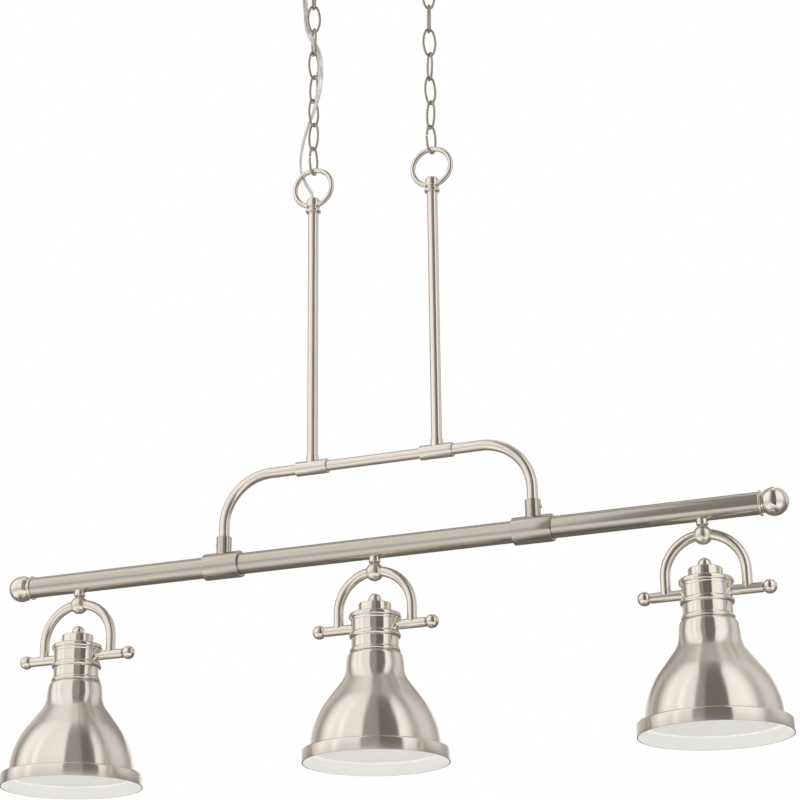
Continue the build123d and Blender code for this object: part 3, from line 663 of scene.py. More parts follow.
def crossbar(number, finish):
    radius = YOKE_BAR / 2
    outline = [(radius - 1.5, -CROSSBAR_REACH), (radius - 0.4, -CROSSBAR_REACH)]
    outline += [(radius, -CROSSBAR_REACH + 0.4), (radius, CROSSBAR_REACH - 0.4)]
    outline += [(radius - 0.4, CROSSBAR_REACH), (radius - 1.5, CROSSBAR_REACH)]
    bar = solid_of(f"lamp_{number}_cross_tube", outline, TUBE_SIDES)
    return lamp_piece(bar, number, "yoke", CROSSBAR_Z, "brushed_nickel", finish, "crossbar", (0, 90, 0))


def crossbar_finials(number, finish):
    outline = [(4.0, CROSSBAR_REACH - 1), (4.0, CROSSBAR_REACH + 0.6)]
    outline += arc((0, FINIAL_REACH), FINIAL_RADIUS, -52, 88, 36)
    name = f"lamp_{number}_ball_finials"
    right = solid_of(name, outline, 64)
    pair = pair_at(name, right, [LAMP_XS[number]] * 2, CROSSBAR_Z, (0, -90, 0), (0, 90, 0))
    return finish_piece(pair, f"lamp_{number}_yoke", "polished_nickel", finish,
                        f"lamp_{number}_crossbar_finials")


# ---- main tube and what is on it -------------------------
MAIN_RADIUS = 12.7
MAIN_REACH = 449.5
END_RING_RADIUS = 14.5
END_RING_WIDTH = 2.5
END_BALL_RADIUS = 16.0
END_BALL_REACH = 465.5
END_BALL_NECK_RADIUS = 11.0
MAIN_SLEEVE_RADIUS = 16.0
MAIN_SLEEVE_HALF = 23.0
MAIN_BOSS_RADIUS = 9.0
MAIN_BOSS_TOP = 35.0
NECK_TUBE_RADIUS = 6.9
NECK_FOOT = -17.3
SET_SCREW_HEIGHT = 26.5
SET_SCREW_RADIUS = 2.0
SET_SCREW_PROUD = 1.2


def main_tube(finish):
    outline = [(MAIN_RADIUS - 0.5, -MAIN_REACH), (MAIN_RADIUS, -MAIN_REACH + 0.4)]
    outline += [(MAIN_RADIUS, MAIN_REACH - 0.4), (MAIN_RADIUS - 0.5, MAIN_REACH)]
    tube = solid_of("long_tube", outline, 96)
    put(tube, (0, 0, MAIN_Z), (0, 90, 0))
    return finish_piece(tube, "bar_frame", "brushed_nickel", finish, "main_tube")


def both_ends(name, outline, sides=96):
    """A turned piece on the right end of the main tube and its mirror on the left end."""
    right = solid_of(name, outline, sides)
    return pair_at(name, right, (0, 0), MAIN_Z, (0, -90, 0), (0, 90, 0))


def end_rings(finish):
    round_off = 0.9
    near, far = MAIN_REACH, MAIN_REACH + END_RING_WIDTH
    inner = END_RING_RADIUS - round_off
    outline = [(inner - 2, near)]
    outline += arc((inner, near + round_off), round_off, -90, 0, 4)
    outline += arc((inner, far - round_off), round_off, 0, 90, 4)
    outline += [(inner - 2, far)]
    return finish_piece(both_ends("tube_end_rings", outline), "bar_frame", "polished_nickel", finish,
                        "end_rings")


def end_balls(finish):
    outline = [(END_BALL_NECK_RADIUS, MAIN_REACH + 1)]
    outline += arc((0, END_BALL_REACH), END_BALL_RADIUS, -46, 88, 44)
    return finish_piece(both_ends("tube_end_balls", outline), "bar_frame", "polished_nickel", finish,
                        "end_balls")


def tee(name, radius, half, boss_radius, boss_top):
    """A sleeve along X with an upright boss."""
    rim = 0.7
    lip = radius - 2.2
    outline = [(lip, -half), (radius - rim, -half)]
    outline += arc((radius - rim, -half + rim), rim, -60, 0, 3)
    outline += arc((radius - rim, half - rim), rim, 0, 60, 3)
    outline += [(radius - rim, half), (lip, half)]
    sleeve = solid_of(f"{name}_sleeve", outline, 96)
    put(sleeve, (0, 0, 0), (0, 90, 0))
    rim = 0.6
    outline = [(boss_radius, radius * 0.5)]
    outline += arc((boss_radius - rim, boss_top - rim), rim, 0, 90, 4)
    outline += [(boss_radius - 1.8, boss_top)]
    boss = solid_of(f"{name}_boss", outline, 64)
    return join(name, [sleeve, apply_place(boss)])


def main_sleeves(finish):
    right = tee("main_tees", MAIN_SLEEVE_RADIUS, MAIN_SLEEVE_HALF, MAIN_BOSS_RADIUS, MAIN_BOSS_TOP)
    both = pair_at("main_tees", right, HANDLE_XS, MAIN_Z)
    return finish_piece(both, "bar_frame", "brushed_nickel", finish, "main_sleeves")


def set_screws(finish):
    proud = MAIN_BOSS_RADIUS + SET_SCREW_PROUD
    outline = [(SET_SCREW_RADIUS, MAIN_BOSS_RADIUS - 2), (SET_SCREW_RADIUS, proud - 0.3)]
    outline += [(SET_SCREW_RADIUS - 0.3, proud), (1.1, proud), (1.0, proud - 0.9)]
    right = solid_of("grub_screws", outline, 24)
    height = MAIN_Z + SET_SCREW_HEIGHT * MM
    both = pair_at("grub_screws", right, HANDLE_XS, height, (0, -90, 0), (0, 90, 0))
    return finish_piece(both, "bar_frame", "zinc_steel", finish, "set_screws")


def lamp_necks(finish):
    outline = [(NECK_TUBE_RADIUS - 1.6, NECK_FOOT)]
    outline += arc((NECK_TUBE_RADIUS - 0.6, NECK_FOOT + 0.6), 0.6, -90, 0, 4)
    outline += [(NECK_TUBE_RADIUS, -MAIN_RADIUS + 2.5)]
    first = solid_of("swivel_necks", outline, 64)
    necks = [copy_at(first, (x, 0, MAIN_Z)) for x in LAMP_XS.values()]
    remove(first)
    return finish_piece(join("swivel_necks", necks), "bar_frame", "polished_nickel", finish, "lamp_necks")


# ---- handle, stems and rings -----------------------------
HANDLE_BEND = 60.0
HANDLE_RISE = 108.3
LEG_FOOT = 13.2
BAR_SLEEVE_RADIUS = 8.75
BAR_SLEEVE_HALF = 20.0
BAR_BOSS_RADIUS = 7.3
BAR_BOSS_TOP = 15.2
HUB_RADIUS = 8.4
HUB_TOP = -14.6
HUB_BOTTOM = -27.1
HUB_ROUND = 4.2
HUB_FOOT_ROUND = 2.2
CORD_HOLE_RADIUS = 3.9
BEAD_HEIGHT = 5.4
BEAD_DROP = 32.2
BEAD_RADIUS = 9.5


def handle(finish):
    reach = HANDLE_XS[1] / MM
    leg = HANDLE_RISE - HANDLE_BEND - LEG_FOOT
    bend_x = reach - HANDLE_BEND
    top = HANDLE_RISE - HANDLE_BEND
    moves = [
        ("run", (0, 0, leg)),
        ("bend", (-bend_x, 0, top), (0, 1, 0), 90, 32),
        ("run", (2 * bend_x, 0, 0)),
        ("bend", (bend_x, 0, top), (0, 1, 0), 90, 32),
        ("run", (0, 0, -leg)),
    ]
    tube = bent_bar("bent_handle", HANDLE_BAR, (-reach, 0, LEG_FOOT), (0, 0, 1), moves)
    put(tube, (0, 0, MAIN_Z))
    return finish_piece(tube, "bar_frame", "brushed_nickel", finish, "handle")


def bar_sleeves(finish):
    right = tee("stem_tees", BAR_SLEEVE_RADIUS, BAR_SLEEVE_HALF, BAR_BOSS_RADIUS, BAR_BOSS_TOP)
    both = pair_at("stem_tees", right, CHAIN_XS, BAR_Z)
    return finish_piece(both, "bar_frame", "brushed_nickel", finish, "bar_sleeves")


def stems(finish):
    radius = HANDLE_BAR / 2
    length = (STEM_HIGH - STEM_LOW) / MM
    outline = [(radius - 0.4, 0), (radius, 0.4), (radius, length - 0.4), (radius - 0.4, length)]
    right = solid_of("long_stems", outline, 64)
    both = pair_at("long_stems", right, CHAIN_XS, STEM_LOW)
    return finish_piece(both, "bar_frame", "brushed_nickel", finish, "stems")


def bead_collars(finish):
    half = BEAD_HEIGHT / 2
    outline = [(HANDLE_BAR / 2 + 0.05, -half)]
    outline += arc((BEAD_RADIUS - half, 0), half, -90, 90, 16)
    outline += [(HANDLE_BAR / 2 + 0.05, half)]
    right = solid_of("round_beads", outline, 64)
    height = RING_Z - BEAD_DROP * MM
    both = pair_at("round_beads", right, CHAIN_XS, height)
    return finish_piece(both, "bar_frame", "polished_nickel", finish, "bead_collars")


def hanger_rings(finish):
    outline = [(HANDLE_BAR / 2 + 0.1, HUB_BOTTOM)]
    outline += arc((HUB_RADIUS - HUB_FOOT_ROUND, HUB_BOTTOM + HUB_FOOT_ROUND), HUB_FOOT_ROUND, -80, 0, 6)
    outline += arc((HUB_RADIUS - HUB_ROUND, HUB_TOP - HUB_ROUND), HUB_ROUND, 0, 88, 10)
    outline += [(CORD_HOLE_RADIUS, HUB_TOP), (CORD_HOLE_RADIUS, HUB_BOTTOM + 5)]
    outline += [(HANDLE_BAR / 2 + 0.1, HUB_BOTTOM + 5), (HANDLE_BAR / 2 + 0.1, HUB_BOTTOM)]
    hub = turned("ring_hub", outline, 64)
    deselect_all()
    bpy.ops.mesh.primitive_torus_add(major_radius=RING_RADIUS * MM, minor_radius=RING_WIRE_RADIUS * MM,
                                     major_segments=128, minor_segments=28,
                                     rotation=(math.pi / 2, 0, 0))
    hoop = bpy.context.object
    right = join("hanger_hoops", [apply_place(hub), apply_place(hoop)])
    both = pair_at("hanger_hoops", right, CHAIN_XS, RING_Z)
    return finish_piece(both, "bar_frame", "polished_nickel", finish, "hanger_rings")


# ---- chains ----------------------------------------------
LINK_WIRE = 3.0
LINK_HALF = 18.6
LINK_HALF_WIDTH = 7.75
LINK_TIP = 5.2
LINK_STEP = 34.0
OPEN_LINK_GAP = 2.6
OPEN_LINK_RISE = 3.2
LEFT_TURNS = (76, -22, 67, -31, 63, -51, 35)
RIGHT_TURNS = (66, -35, 57, -50, 37, -62, 35)
TOP_TURN = -55


def link_shape():
    """Half angle of a link's long side arc, and that arc's radius."""
    rise = LINK_HALF - LINK_TIP
    side = (rise ** 2 + LINK_HALF_WIDTH ** 2 - LINK_TIP ** 2) / (2 * (LINK_HALF_WIDTH - LINK_TIP))
    return math.degrees(math.atan2(rise, side - LINK_HALF_WIDTH)), side, rise


def closed_link():
    lean, side, rise = link_shape()
    inset = side - LINK_HALF_WIDTH
    start = (0, 0, -LINK_HALF)
    moves = [
        ("bend", (0, 0, -rise), (0, 1, 0), -(90 - lean), 7),
        ("bend", (-inset, 0, 0), (0, 1, 0), -2 * lean, 26),
        ("bend", (0, 0, rise), (0, 1, 0), -(180 - 2 * lean), 14),
        ("bend", (inset, 0, 0), (0, 1, 0), -2 * lean, 26),
        ("bend", (0, 0, -rise), (0, 1, 0), -(90 - lean), 7),
    ]
    return bent_bar("oval_link", LINK_WIRE, start, (1, 0, 0), moves, WIRE_SIDES, closed=False)


def open_link():
    """The lowest link, with its small gap in the upper part of its left leg."""
    lean, side, rise = link_shape()
    inset = side - LINK_HALF_WIDTH
    gap_low = math.degrees(math.asin((OPEN_LINK_RISE - OPEN_LINK_GAP / 2) / side))
    gap_high = math.degrees(math.asin((OPEN_LINK_RISE + OPEN_LINK_GAP / 2) / side))
    gap_angle = math.radians(gap_low)
    start = (inset - side * math.cos(gap_angle), 0, side * math.sin(gap_angle))
    heading = (-math.sin(gap_angle), 0, -math.cos(gap_angle))
    moves = [
        ("bend", (inset, 0, 0), (0, 1, 0), -(lean + gap_low), 16),
        ("bend", (0, 0, -rise), (0, 1, 0), -(180 - 2 * lean), 14),
        ("bend", (-inset, 0, 0), (0, 1, 0), -2 * lean, 26),
        ("bend", (0, 0, rise), (0, 1, 0), -(180 - 2 * lean), 14),
        ("bend", (inset, 0, 0), (0, 1, 0), -(lean - gap_high), 12),
    ]
    return bent_bar("open_link", LINK_WIRE, start, heading, moves, WIRE_SIDES)


def chain(name, x, turns, body, finish, node):
    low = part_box(node)[0].z + (LINK_HALF + LINK_WIRE / 2) * MM
    whole, split = closed_link(), open_link()
    links = []
    for number, turn in enumerate(turns):
        shape = split if number == 0 else whole
        links.append(copy_at(shape, (x, 0, low + number * LINK_STEP * MM), (0, 0, turn)))
    remove(whole)
    remove(split)
    return finish_piece(join(name, links), body, "chain_nickel", finish, node)


def top_links(finish):
    height = middle("top_links").z
    right = closed_link()
    turn = (0, 0, TOP_TURN)
    both = pair_at("hanging_links", right, CHAIN_XS, height, turn, turn)
    return finish_piece(both, "top_links", "chain_nickel", finish, "top_links")


# ---- ceiling canopy --------------------------------------
CANOPY_HALF_LENGTH = 152.5
CANOPY_RADIUS = 60.5
CANOPY_DEPTH = 25.0
CANOPY_ROUND = 7.0
CANOPY_WALL = 1.0
LOOP_DROP = 16.0
LOOP_NECK_RADIUS = 4.0
LOOP_FOOT_RADIUS = 8.0
LOOP_STUD_RADIUS = 5.0
LOOP_STUD_HEIGHT = 10
LOOP_RADIUS = 9.75
LOOP_WIRE_RADIUS = 1.75
LOOP_TURN = 35
SCREW_SPACING = 50.0
KNOB_STEM_RADIUS = 2.0
KNOB_RADIUS = 6.0
KNOB_ROUND = 3.5
BUSHING_OFFSET = 28.0
BUSHING_BORE_RADIUS = 3.9
BUSHING_TUBE_RADIUS = 6.0
BUSHING_TOP = 7.0
BUSHING_FLANGE_RADIUS = 8.5
BUSHING_FOOT = -2.0


def ceiling_canopy(finish):
    outline = [(CANOPY_RADIUS, 0)]
    outline += arc((CANOPY_RADIUS - CANOPY_ROUND, CANOPY_ROUND - CANOPY_DEPTH), CANOPY_ROUND, 0, -90, 10)
    canopy = turned("oblong_canopy", outline, 128, end_closed=True)
    apply_place(canopy)
    bpy.ops.object.mode_set(mode="EDIT")
    spread = (CANOPY_HALF_LENGTH - CANOPY_RADIUS) * MM
    for side in (-1, 1):
        bpy.ops.mesh.select_all(action="DESELECT")
        bpy.ops.object.mode_set(mode="OBJECT")
        for vertex in canopy.data.vertices:
            vertex.select = vertex.co.x * side > 1e-5
        bpy.ops.object.mode_set(mode="EDIT")
        bpy.ops.transform.translate(value=(side * spread, 0, 0))
    bpy.ops.object.mode_set(mode="OBJECT")
    thicken(canopy, CANOPY_WALL * MM)
    return finish_piece(canopy, "ceiling", "brushed_nickel", finish, "ceiling_canopy")


def ceiling_loops(finish):
    outline = [(LOOP_NECK_RADIUS, LOOP_RADIUS), (LOOP_NECK_RADIUS, LOOP_DROP - 3.6)]
    outline += [(LOOP_FOOT_RADIUS - 0.6, LOOP_DROP - 3.0), (LOOP_FOOT_RADIUS, LOOP_DROP - 2.4)]
    outline += [(LOOP_FOOT_RADIUS, LOOP_DROP), (LOOP_STUD_RADIUS, LOOP_DROP)]
    outline += [(LOOP_STUD_RADIUS, LOOP_DROP + LOOP_STUD_HEIGHT)]
    neck = solid_of("loop_neck", outline, 64)
    deselect_all()
    bpy.ops.mesh.primitive_torus_add(major_radius=LOOP_RADIUS * MM, minor_radius=LOOP_WIRE_RADIUS * MM,
                                     major_segments=72, minor_segments=24,
                                     rotation=(math.pi / 2, 0, math.radians(LOOP_TURN)))
    eye = bpy.context.object
    right = join("canopy_loops", [apply_place(neck), apply_place(eye)])
    height = CANOPY_UNDERSIDE - LOOP_DROP * MM
    both = pair_at("canopy_loops", right, CHAIN_XS, height)
    return finish_piece(both, "ceiling", "polished_nickel", finish, "ceiling_loops")


def canopy_screws(finish):
    outline = [(KNOB_STEM_RADIUS, CANOPY_DEPTH - 0.3), (KNOB_STEM_RADIUS, -0.2), (KNOB_RADIUS, -0.2)]
    outline += [(KNOB_RADIUS, 0.1 - KNOB_ROUND)]
    outline += arc((KNOB_RADIUS - KNOB_ROUND, -KNOB_ROUND), KNOB_ROUND, 0, -88, 8)
    right = solid_of("canopy_knobs", outline, 48)
    reach = SCREW_SPACING / 2 * MM
    both = pair_at("canopy_knobs", right, (-reach, reach), CANOPY_UNDERSIDE)
    return finish_piece(both, "ceiling", "polished_nickel", finish, "canopy_screws")


def cord_bushing(finish):
    lead_in = (BUSHING_BORE_RADIUS, BUSHING_FOOT + 0.6)
    outline = [lead_in, (BUSHING_BORE_RADIUS + 0.6, BUSHING_FOOT)]
    outline += [(BUSHING_FLANGE_RADIUS - 1.2, BUSHING_FOOT), (BUSHING_FLANGE_RADIUS - 0.3, -1.5)]
    outline += [(BUSHING_FLANGE_RADIUS, -0.6), (BUSHING_FLANGE_RADIUS - 0.1, 0.0)]
    outline += [(BUSHING_TUBE_RADIUS, 0.0), (BUSHING_TUBE_RADIUS, BUSHING_TOP)]
    outline += [(BUSHING_BORE_RADIUS, BUSHING_TOP), lead_in]
    bushing = turned("canopy_bushing", outline, 64)
    put(bushing, (CHAIN_XS[0] - BUSHING_OFFSET * MM, 0, CANOPY_UNDERSIDE))
    return finish_piece(bushing, "ceiling", "polished_nickel", finish, "cord_bushing")


# ---- supply cord -----------------------------------------
# The route's points are offsets in millimetres from the left chain's axis and its ring's centre.
CORD_ROUTE = (
    (0.0, 0.0, -22.0),
    (0.0, 0.0, -8.0),
    (-15.0, 8.0, 13.0),
    (-23.0, 9.5, 38.0),
    (-18.5, 6.0, 64.0),
    (-9.5, 3.0, 89.5),
    (0.5, -0.5, 107.0),
    (9.0, -6.5, 124.5),
    (13.5, -8.5, 148.0),
    (12.0, -6.0, 173.0),
    (6.3, 1.3, 194.0),
    (-3.3, -0.5, 213.0),
    (-11.5, 1.5, 234.0),
    (-12.5, 3.0, 259.0),
    (-15.5, 3.0, 284.0),
    (-26.0, 0.5, 308.0),
    (-28.0, 0.0, 326.0),
)
CORD_WIDTH = 6.4
CORD_CORE = 3.3
CORD_WEB_DIP = 0.45
CORD_WEB_HALF = 0.9
CORD_SHADE = (0.50, 0.50, 0.455, 1)
CORD_SHINE = (0.93, 0.93, 0.89, 1)
CORD_LINES = (9, 30, 1)
CORD_RING_STEPS = 24
# The flat cord's wide side, in degrees from the X axis about its own line, at shares of its length.
CORD_TWIST = ((0.0, 110), (0.36, 108), (0.47, 50), (0.62, 20), (1.0, 15))


def cord_line():
    """Points along the cord's smooth line, read from its spline."""
    curve = bpy.data.curves.new("cord_line", "CURVE")
    curve.dimensions = "3D"
    curve.resolution_u = 24
    spline = curve.splines.new("NURBS")
    spline.points.add(len(CORD_ROUTE) - 1)
    for point, (x, y, z) in zip(spline.points, CORD_ROUTE):
        point.co = (CHAIN_XS[0] + x * MM, y * MM, RING_Z + z * MM, 1)
    spline.order_u = 3
    spline.use_endpoint_u = True
    line = bpy.data.objects.new("cord_line", curve)
    bpy.context.scene.collection.objects.link(line)
    mesh = bpy.data.meshes.new_from_object(line)
    points = [vertex.co.copy() for vertex in mesh.vertices]
    bpy.data.objects.remove(line)
    return points


def twist_at(share):
    for (low, low_twist), (high, high_twist) in zip(CORD_TWIST, CORD_TWIST[1:]):
        if share <= high:
            blend = (share - low) / (high - low)
            blend = blend * blend * (3 - 2 * blend)
            return math.radians(low_twist + (high_twist - low_twist) * blend)
    return math.radians(CORD_TWIST[-1][1])


def cord_section(step):
    """A point of the twin cord's outline: two round cores side by side, joined by a web."""
    angle = 2 * math.pi * step / CORD_RING_STEPS
    core = CORD_CORE / 2
    apart = CORD_WIDTH / 2 - core
    side = 1 if math.cos(angle) >= 0 else -1
    x = side * apart + core * math.cos(angle)
    y = core * math.sin(angle) * (1 - CORD_WEB_DIP * math.exp(-(x / CORD_WEB_HALF) ** 2))
    return x * MM, y * MM


def supply_cord(finish):
    points = cord_line()
    lengths = [0.0]
    for before, here in zip(points, points[1:]):
        lengths.append(lengths[-1] + (here - before).length)
    vertices, faces = [], []
    for index, point in enumerate(points):
        before = points[max(index - 1, 0)]
        after = points[min(index + 1, len(points) - 1)]
        along = (after - before).normalized()
        wide = (Vector((1, 0, 0)) - along * along.x).normalized()
        deep = along.cross(wide)
        twist = twist_at(lengths[index] / lengths[-1])
        across = wide * math.cos(twist) + deep * math.sin(twist)
        thick = along.cross(across)
        for step in range(CORD_RING_STEPS):
            x, y = cord_section(step)
            vertices.append(point + across * x + thick * y)
    count = CORD_RING_STEPS
    for ring in range(len(points) - 1):
        for step in range(count):
            beside = (step + 1) % count
            faces.append((ring * count + step, ring * count + beside,
                          (ring + 1) * count + beside, (ring + 1) * count + step))
    faces.append(tuple(range(count))[::-1])
    faces.append(tuple((len(points) - 1) * count + step for step in range(count)))
    mesh = bpy.data.meshes.new("twin_cord")
    mesh.from_pydata(vertices, [], faces)
    layer = mesh.uv_layers.new(name="cord")
    for polygon in mesh.polygons:
        for loop in polygon.loop_indices:
            vertex = mesh.loops[loop].vertex_index
            ring, step = divmod(vertex, count)
            if step == 0 and max(mesh.loops[other].vertex_index % count
                                 for other in polygon.loop_indices) == count - 1:
                step = count
            layer.data[loop].uv = (step / count, lengths[ring])
    cord = bpy.data.objects.new("twin_cord", mesh)
    bpy.context.scene.collection.objects.link(cord)
    finish_piece(cord, None, "cord_plastic", finish, "supply_cord")
    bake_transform(cord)
    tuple(points[0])
    return cord


def cord_plastic():
    """Pale silvery insulation, with the stranded cores under it drawn as fine lines along the cord."""
    material, nodes, shader = new_material("cord_plastic")
    place = nodes.new("ShaderNodeUVMap")
    place.uv_map = "cord"
    stretch = add_node(nodes, "Mapping", {"Scale": CORD_LINES})
    connect(place.outputs["UV"], stretch.inputs["Vector"])
    strands = noise_at(nodes, stretch.outputs["Vector"], 2.0)
    tone = nodes.new("ShaderNodeValToRGB")
    tone.color_ramp.elements[0].position = 0.38
    tone.color_ramp.elements[0].color = CORD_SHADE
    tone.color_ramp.elements[1].position = 0.62
    tone.color_ramp.elements[1].color = CORD_SHINE
    connect(strands, tone.inputs["Fac"])
    connect(tone.outputs["Color"], shader.inputs["Base Color"])
    shader.inputs["Roughness"].default_value = 0.3
    shader.inputs["Transmission Weight"].default_value = 0.15
    shader.inputs["Coat Weight"].default_value = 0.4
    return material


# ---- light -----------------------------------------------
def studio_world():
    """White to the camera, an even light on paint, and for metal a pale room with darker stretches."""
    world = bpy.data.worlds.new("studio")
    bpy.context.scene.world = world
    world.use_nodes = True
    nodes = world.node_tree.nodes
    nodes.clear()
    place = nodes.new("ShaderNodeTexCoord")
    apart = nodes.new("ShaderNodeSeparateXYZ")
    connect(place.outputs["Generated"], apart.inputs["Vector"])
    front = reckon(nodes, "MULTIPLY", apart.outputs["Y"], -1)
    turn = reckon(nodes, "ARCTAN2", apart.outputs["X"], front)
    lift = reckon(nodes, "ARCSINE", apart.outputs["Z"])

    room = nodes.new("ShaderNodeMix")
    room.data_type = "RGBA"
    room.blend_type = "MULTIPLY"
    room.inputs["Factor"].default_value = 1
    connect(level_bands(nodes, turn, AROUND, math.pi), room.inputs["A"])
    connect(level_bands(nodes, lift, UPWARD, math.pi / 2), room.inputs["B"])

    ray = nodes.new("ShaderNodeLightPath")
    mirrored = nodes.new("ShaderNodeBackground")
    connect(room.outputs["Result"], mirrored.inputs["Color"])
    plain = add_node(nodes, "Background", {"Color": WHITE})
    ambient = add_node(nodes, "Background", {"Color": WHITE, "Strength": AMBIENT_STRENGTH})
    shiny = reckon(nodes, "MAXIMUM", ray.outputs["Is Glossy Ray"], ray.outputs["Is Transmission Ray"])
    on_surface = nodes.new("ShaderNodeMixShader")
    connect(shiny, on_surface.inputs["Fac"])
    connect(ambient.outputs["Background"], on_surface.inputs[1])
    connect(mirrored.outputs["Background"], on_surface.inputs[2])
    seen = nodes.new("ShaderNodeMixShader")
    connect(ray.outputs["Is Camera Ray"], seen.inputs["Fac"])
    connect(on_surface.outputs["Shader"], seen.inputs[1])
    connect(plain.outputs["Background"], seen.inputs[2])
    out = nodes.new("ShaderNodeOutputWorld")
    connect(seen.outputs["Shader"], out.inputs["Surface"])


def level_bands(nodes, angle, bands, reach):
    """Light levels along an angle that runs from -reach to reach; a band is (degrees, level)."""
    share = add_node(nodes, "MapRange", {"From Min": -reach, "From Max": reach})
    connect(angle, share.inputs["Value"])
    ramp = nodes.new("ShaderNodeValToRGB")
    elements = ramp.color_ramp.elements
    while len(elements) < len(bands):
        elements.new(0.5)
    for element, (degrees, level) in zip(elements, bands):
        element.position = (math.radians(degrees) / reach + 1) / 2
        element.color = (level, level * WARMTH, level * WARMTH ** 2, 1)
    connect(share.outputs["Result"], ramp.inputs["Fac"])
    return ramp.outputs["Color"]


# Light levels by direction: round the room from the back by way of the left, and from floor to ceiling.
AROUND = ((-180, 1.2), (-160, 1.1), (-142, 0.8), (-128, 0.66), (-114, 0.6), (-106, 0.3), (-98, 0.36),
          (-88, 0.9), (-74, 1.25), (-54, 1.0), (-46, 1.35), (-38, 1.0), (40, 1.1), (70, 1.2), (84, 1.0),
          (92, 0.55), (101, 0.55), (114, 0.8), (132, 0.8), (150, 0.55), (163, 0.45), (172, 0.8), (180, 1.2))
UPWARD = ((-90, 0.2), (-72, 0.24), (-62, 0.62), (-50, 0.95), (-36, 1.05), (-22, 0.82), (-8, 0.62), (6, 0.9),
          (22, 0.98), (60, 0.95), (90, 0.85))
WARMTH = 0.985
WHITE = (1, 1, 1, 1)
BLACK = (0, 0, 0, 1)
AMBIENT_STRENGTH = 1.0
FLOOR_Z = -2.9
FLOOR_REACH = 9.0
FLOOR_FADE_START = 2.5
FLOOR_TONES = (0.93, 0.96)
FILL_Z = -2.8
FILL_SIZE = 3.0
FILL_POWER = 12.0

# Dark flags that give the metal its contrast: cards that are seen only in metal. Two stand in a corner on
# the viewer's side. The others are given as name, centre, size, turn about X and level.
FLAG_TINT = (1, 0.94, 0.88, 1)
FLAG_LOW = -1.25
FLAG_HIGH = 3.5
FLAG_CORNERS = ((-0.05, -1.25), (0.36, -0.72), (0.64, -0.36))
FLAG_LEVELS = (0.31, 0.15)
UPRIGHT = math.pi / 2
OTHER_FLAGS = (
    ("ceiling_flag", (0.45, -0.8, 0.9), (1.0, 1.3), 0, 0.32),
    ("back_flag", (0, 1.3, -3.05), (9.0, 4.0), UPRIGHT, 0.22),
    ("high_back_flag", (-0.5, 1.3, 0.6), (1.6, 2.0), UPRIGHT, 0.3),
)


def flags():
    for number, level in enumerate(FLAG_LEVELS):
        (left_x, left_y), (right_x, right_y) = FLAG_CORNERS[number:number + 2]
        width = math.hypot(right_x - left_x, right_y - left_y)
        place = ((left_x + right_x) / 2, (left_y + right_y) / 2, (FLAG_LOW + FLAG_HIGH) / 2)
        turn = (UPRIGHT, 0, math.atan2(right_y - left_y, right_x - left_x))
        flag(f"upright_flag_{number}", place, (width, FLAG_HIGH - FLAG_LOW), turn, level)
    for name, place, extent, tilt, level in OTHER_FLAGS:
        flag(name, place, extent, (tilt, 0, 0), level)


def flag(name, place, extent, turn, level):
    """A dark card that only metal mirrors."""
    deselect_all()
    bpy.ops.mesh.primitive_plane_add(size=1, location=place, rotation=turn)
    card = bpy.context.object
    card.name = name
    card.scale = (*extent, 1)
    card.visible_camera = False
    card.visible_diffuse = False
    card.visible_shadow = False
    material, nodes, shader = new_material(name)
    spot = nodes.new("ShaderNodeTexCoord").outputs["Object"]
    tone = spread(nodes, noise_at(nodes, spot, 1.2, 1.0), level * 0.9, level * 1.1)
    shader.inputs["Base Color"].default_value = BLACK
    shader.inputs["Specular IOR Level"].default_value = 0
    shader.inputs["Emission Color"].default_value = FLAG_TINT
    connect(tone, shader.inputs["Emission Strength"])
    card.data.materials.append(material)


def fill_light():
    """Soft light from below, for the white insides of the shades."""
    light = bpy.data.lights.new("fill", "AREA")
    light.shape = "SQUARE"
    light.size = FILL_SIZE
    light.energy = FILL_POWER
    stand = bpy.data.objects.new("fill", light)
    stand.location = (0, 0, FILL_Z)
    stand.rotation_euler = (math.pi, 0, 0)
    stand.visible_camera = False
    stand.visible_glossy = False
    bpy.context.scene.collection.objects.link(stand)


def floor():
    """A pale floor that keeps the object's shadow and fades into the white background."""
    deselect_all()
    bpy.ops.mesh.primitive_plane_add(size=2 * FLOOR_REACH, location=(0, 0, FLOOR_Z))
    ground = bpy.context.object
    ground.name = "studio_floor"
    material, nodes, shader = new_material("studio_floor")
    place = nodes.new("ShaderNodeTexCoord").outputs["Object"]
    tone = spread(nodes, noise_at(nodes, place, 1.5), *FLOOR_TONES)
    connect(tone, shader.inputs["Base Color"])
    shader.inputs["Roughness"].default_value = 0.9
    fade = {"From Min": FLOOR_FADE_START, "From Max": FLOOR_REACH, "To Min": 1.0, "To Max": 0.0}
    solid = add_node(nodes, "MapRange", fade)
    solid.interpolation_type = "SMOOTHSTEP"
    connect(length_of(nodes, place), solid.inputs["Value"])
    connect(solid.outputs["Result"], shader.inputs["Alpha"])
    ground.data.materials.append(material)
    ground.visible_glossy = False


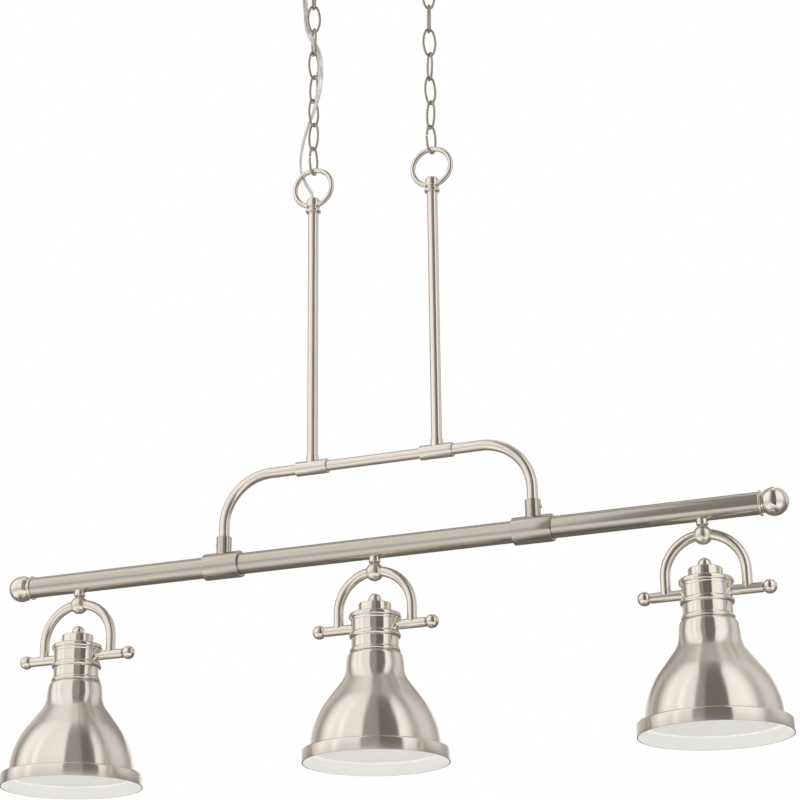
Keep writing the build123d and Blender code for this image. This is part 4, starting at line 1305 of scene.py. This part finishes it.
# ---- assembly --------------------------------------------
def dress_lamps():
    white = enamel("shade_enamel", (0.90, 0.89, 0.865), 0.35)
    glaze = enamel("holder_glaze", (0.86, 0.85, 0.82), 0.15)
    for number in LAMPS:
        centre = (LAMP_XS[number], 0, 0)
        spun = nickel(f"lamp_{number}_spun_nickel", NICKEL, 0.21, "round", centre, 0.02, 0.003,
                      stretch=0.9)
        satin = nickel(f"lamp_{number}_satin_nickel", NICKEL, 0.27, "round", centre, 0.02, 0.002)
        bright = nickel(f"lamp_{number}_bright_nickel", NICKEL, 0.11, "round", centre, 0.02, 0.002,
                        stretch=0.6)
        shade(number, spun)
        lining(number, white)
        socket_cup(number, bright)
        cup_cap(number, bright)
        cap_finial(number, bright)
        lampholder(number, glaze)
        screw_shell(number, BRASS)
        ring_nut(number, ZINC)
        yoke_ball(number, satin)
        yoke_arms(number, BRUSHED_UP)
        crossbar(number, BRUSHED_ACROSS)
        crossbar_finials(number, BRIGHT)


def dress_frame():
    main_tube(SATIN_SHADED_TUBE)
    end_rings(BRIGHT)
    end_balls(BRIGHT)
    main_sleeves(SATIN_SHADED_TUBE)
    set_screws(ZINC)
    lamp_necks(BRIGHT)
    handle(BRUSHED_UP)
    bar_sleeves(BRUSHED_ACROSS)
    stems(BRUSHED_UP)
    bead_collars(BRIGHT)
    hanger_rings(BRIGHT)


def dress_chains():
    chain("left_links", CHAIN_XS[0], LEFT_TURNS, "left_chain", CHAIN, "left_chain")
    chain("right_links", CHAIN_XS[1], RIGHT_TURNS, "right_chain", CHAIN, "right_chain")
    top_links(CHAIN)


def dress_ceiling():
    ceiling_canopy(BRUSHED_ACROSS)
    ceiling_loops(BRIGHT)
    canopy_screws(BRIGHT)
    cord_bushing(BRIGHT)


def repaint(node, material):
    """Gives a CAD piece that keeps its own shape a finish."""
    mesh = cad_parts[node].data
    mesh.materials.clear()
    mesh.materials.append(material)


BRUSHED_ACROSS = nickel("brushed_nickel_across", NICKEL, 0.17, "X", grain=0.03, bump=0.003)
BRUSHED_UP = nickel("brushed_nickel_upright", NICKEL, 0.19, "Z", grain=0.03, bump=0.003)
# The main tube and its sleeves get the darker copy of the nickel colour: painted shade.
SATIN_SHADED_TUBE = nickel("satin_shaded_tube_nickel", SHADED_TUBE_NICKEL, 0.17, "X", grain=0.02, bump=0.002)
BRIGHT = nickel("bright_nickel", NICKEL, 0.08, "Z", grain=0.02, bump=0.002)
# The chain gets the darker, warmer copy of the nickel colour: painted shade.
CHAIN = nickel("chain_nickel", WARM_SHADED_NICKEL, 0.13, "Z", grain=0.02, bump=0.001)
ZINC = nickel("zinc_plate", (0.62, 0.62, 0.60), 0.34, "Z", grain=0.08)
BRASS = nickel("screw_shell_brass", (0.78, 0.60, 0.30), 0.25, "Z")

camera()
supply_cord(cord_plastic())
dress_lamps()
dress_frame()
dress_chains()
dress_ceiling()
for plain_node in ("mounting_bracket", "loop_nuts", "lamp_nipples"):
    repaint(plain_node, ZINC)
repaint("lead_wires", enamel("wire_insulation", (0.03, 0.03, 0.03), 0.4))
studio_world()
flags()
fill_light()
floor()

bpy.context.scene.view_settings.view_transform = "Standard"
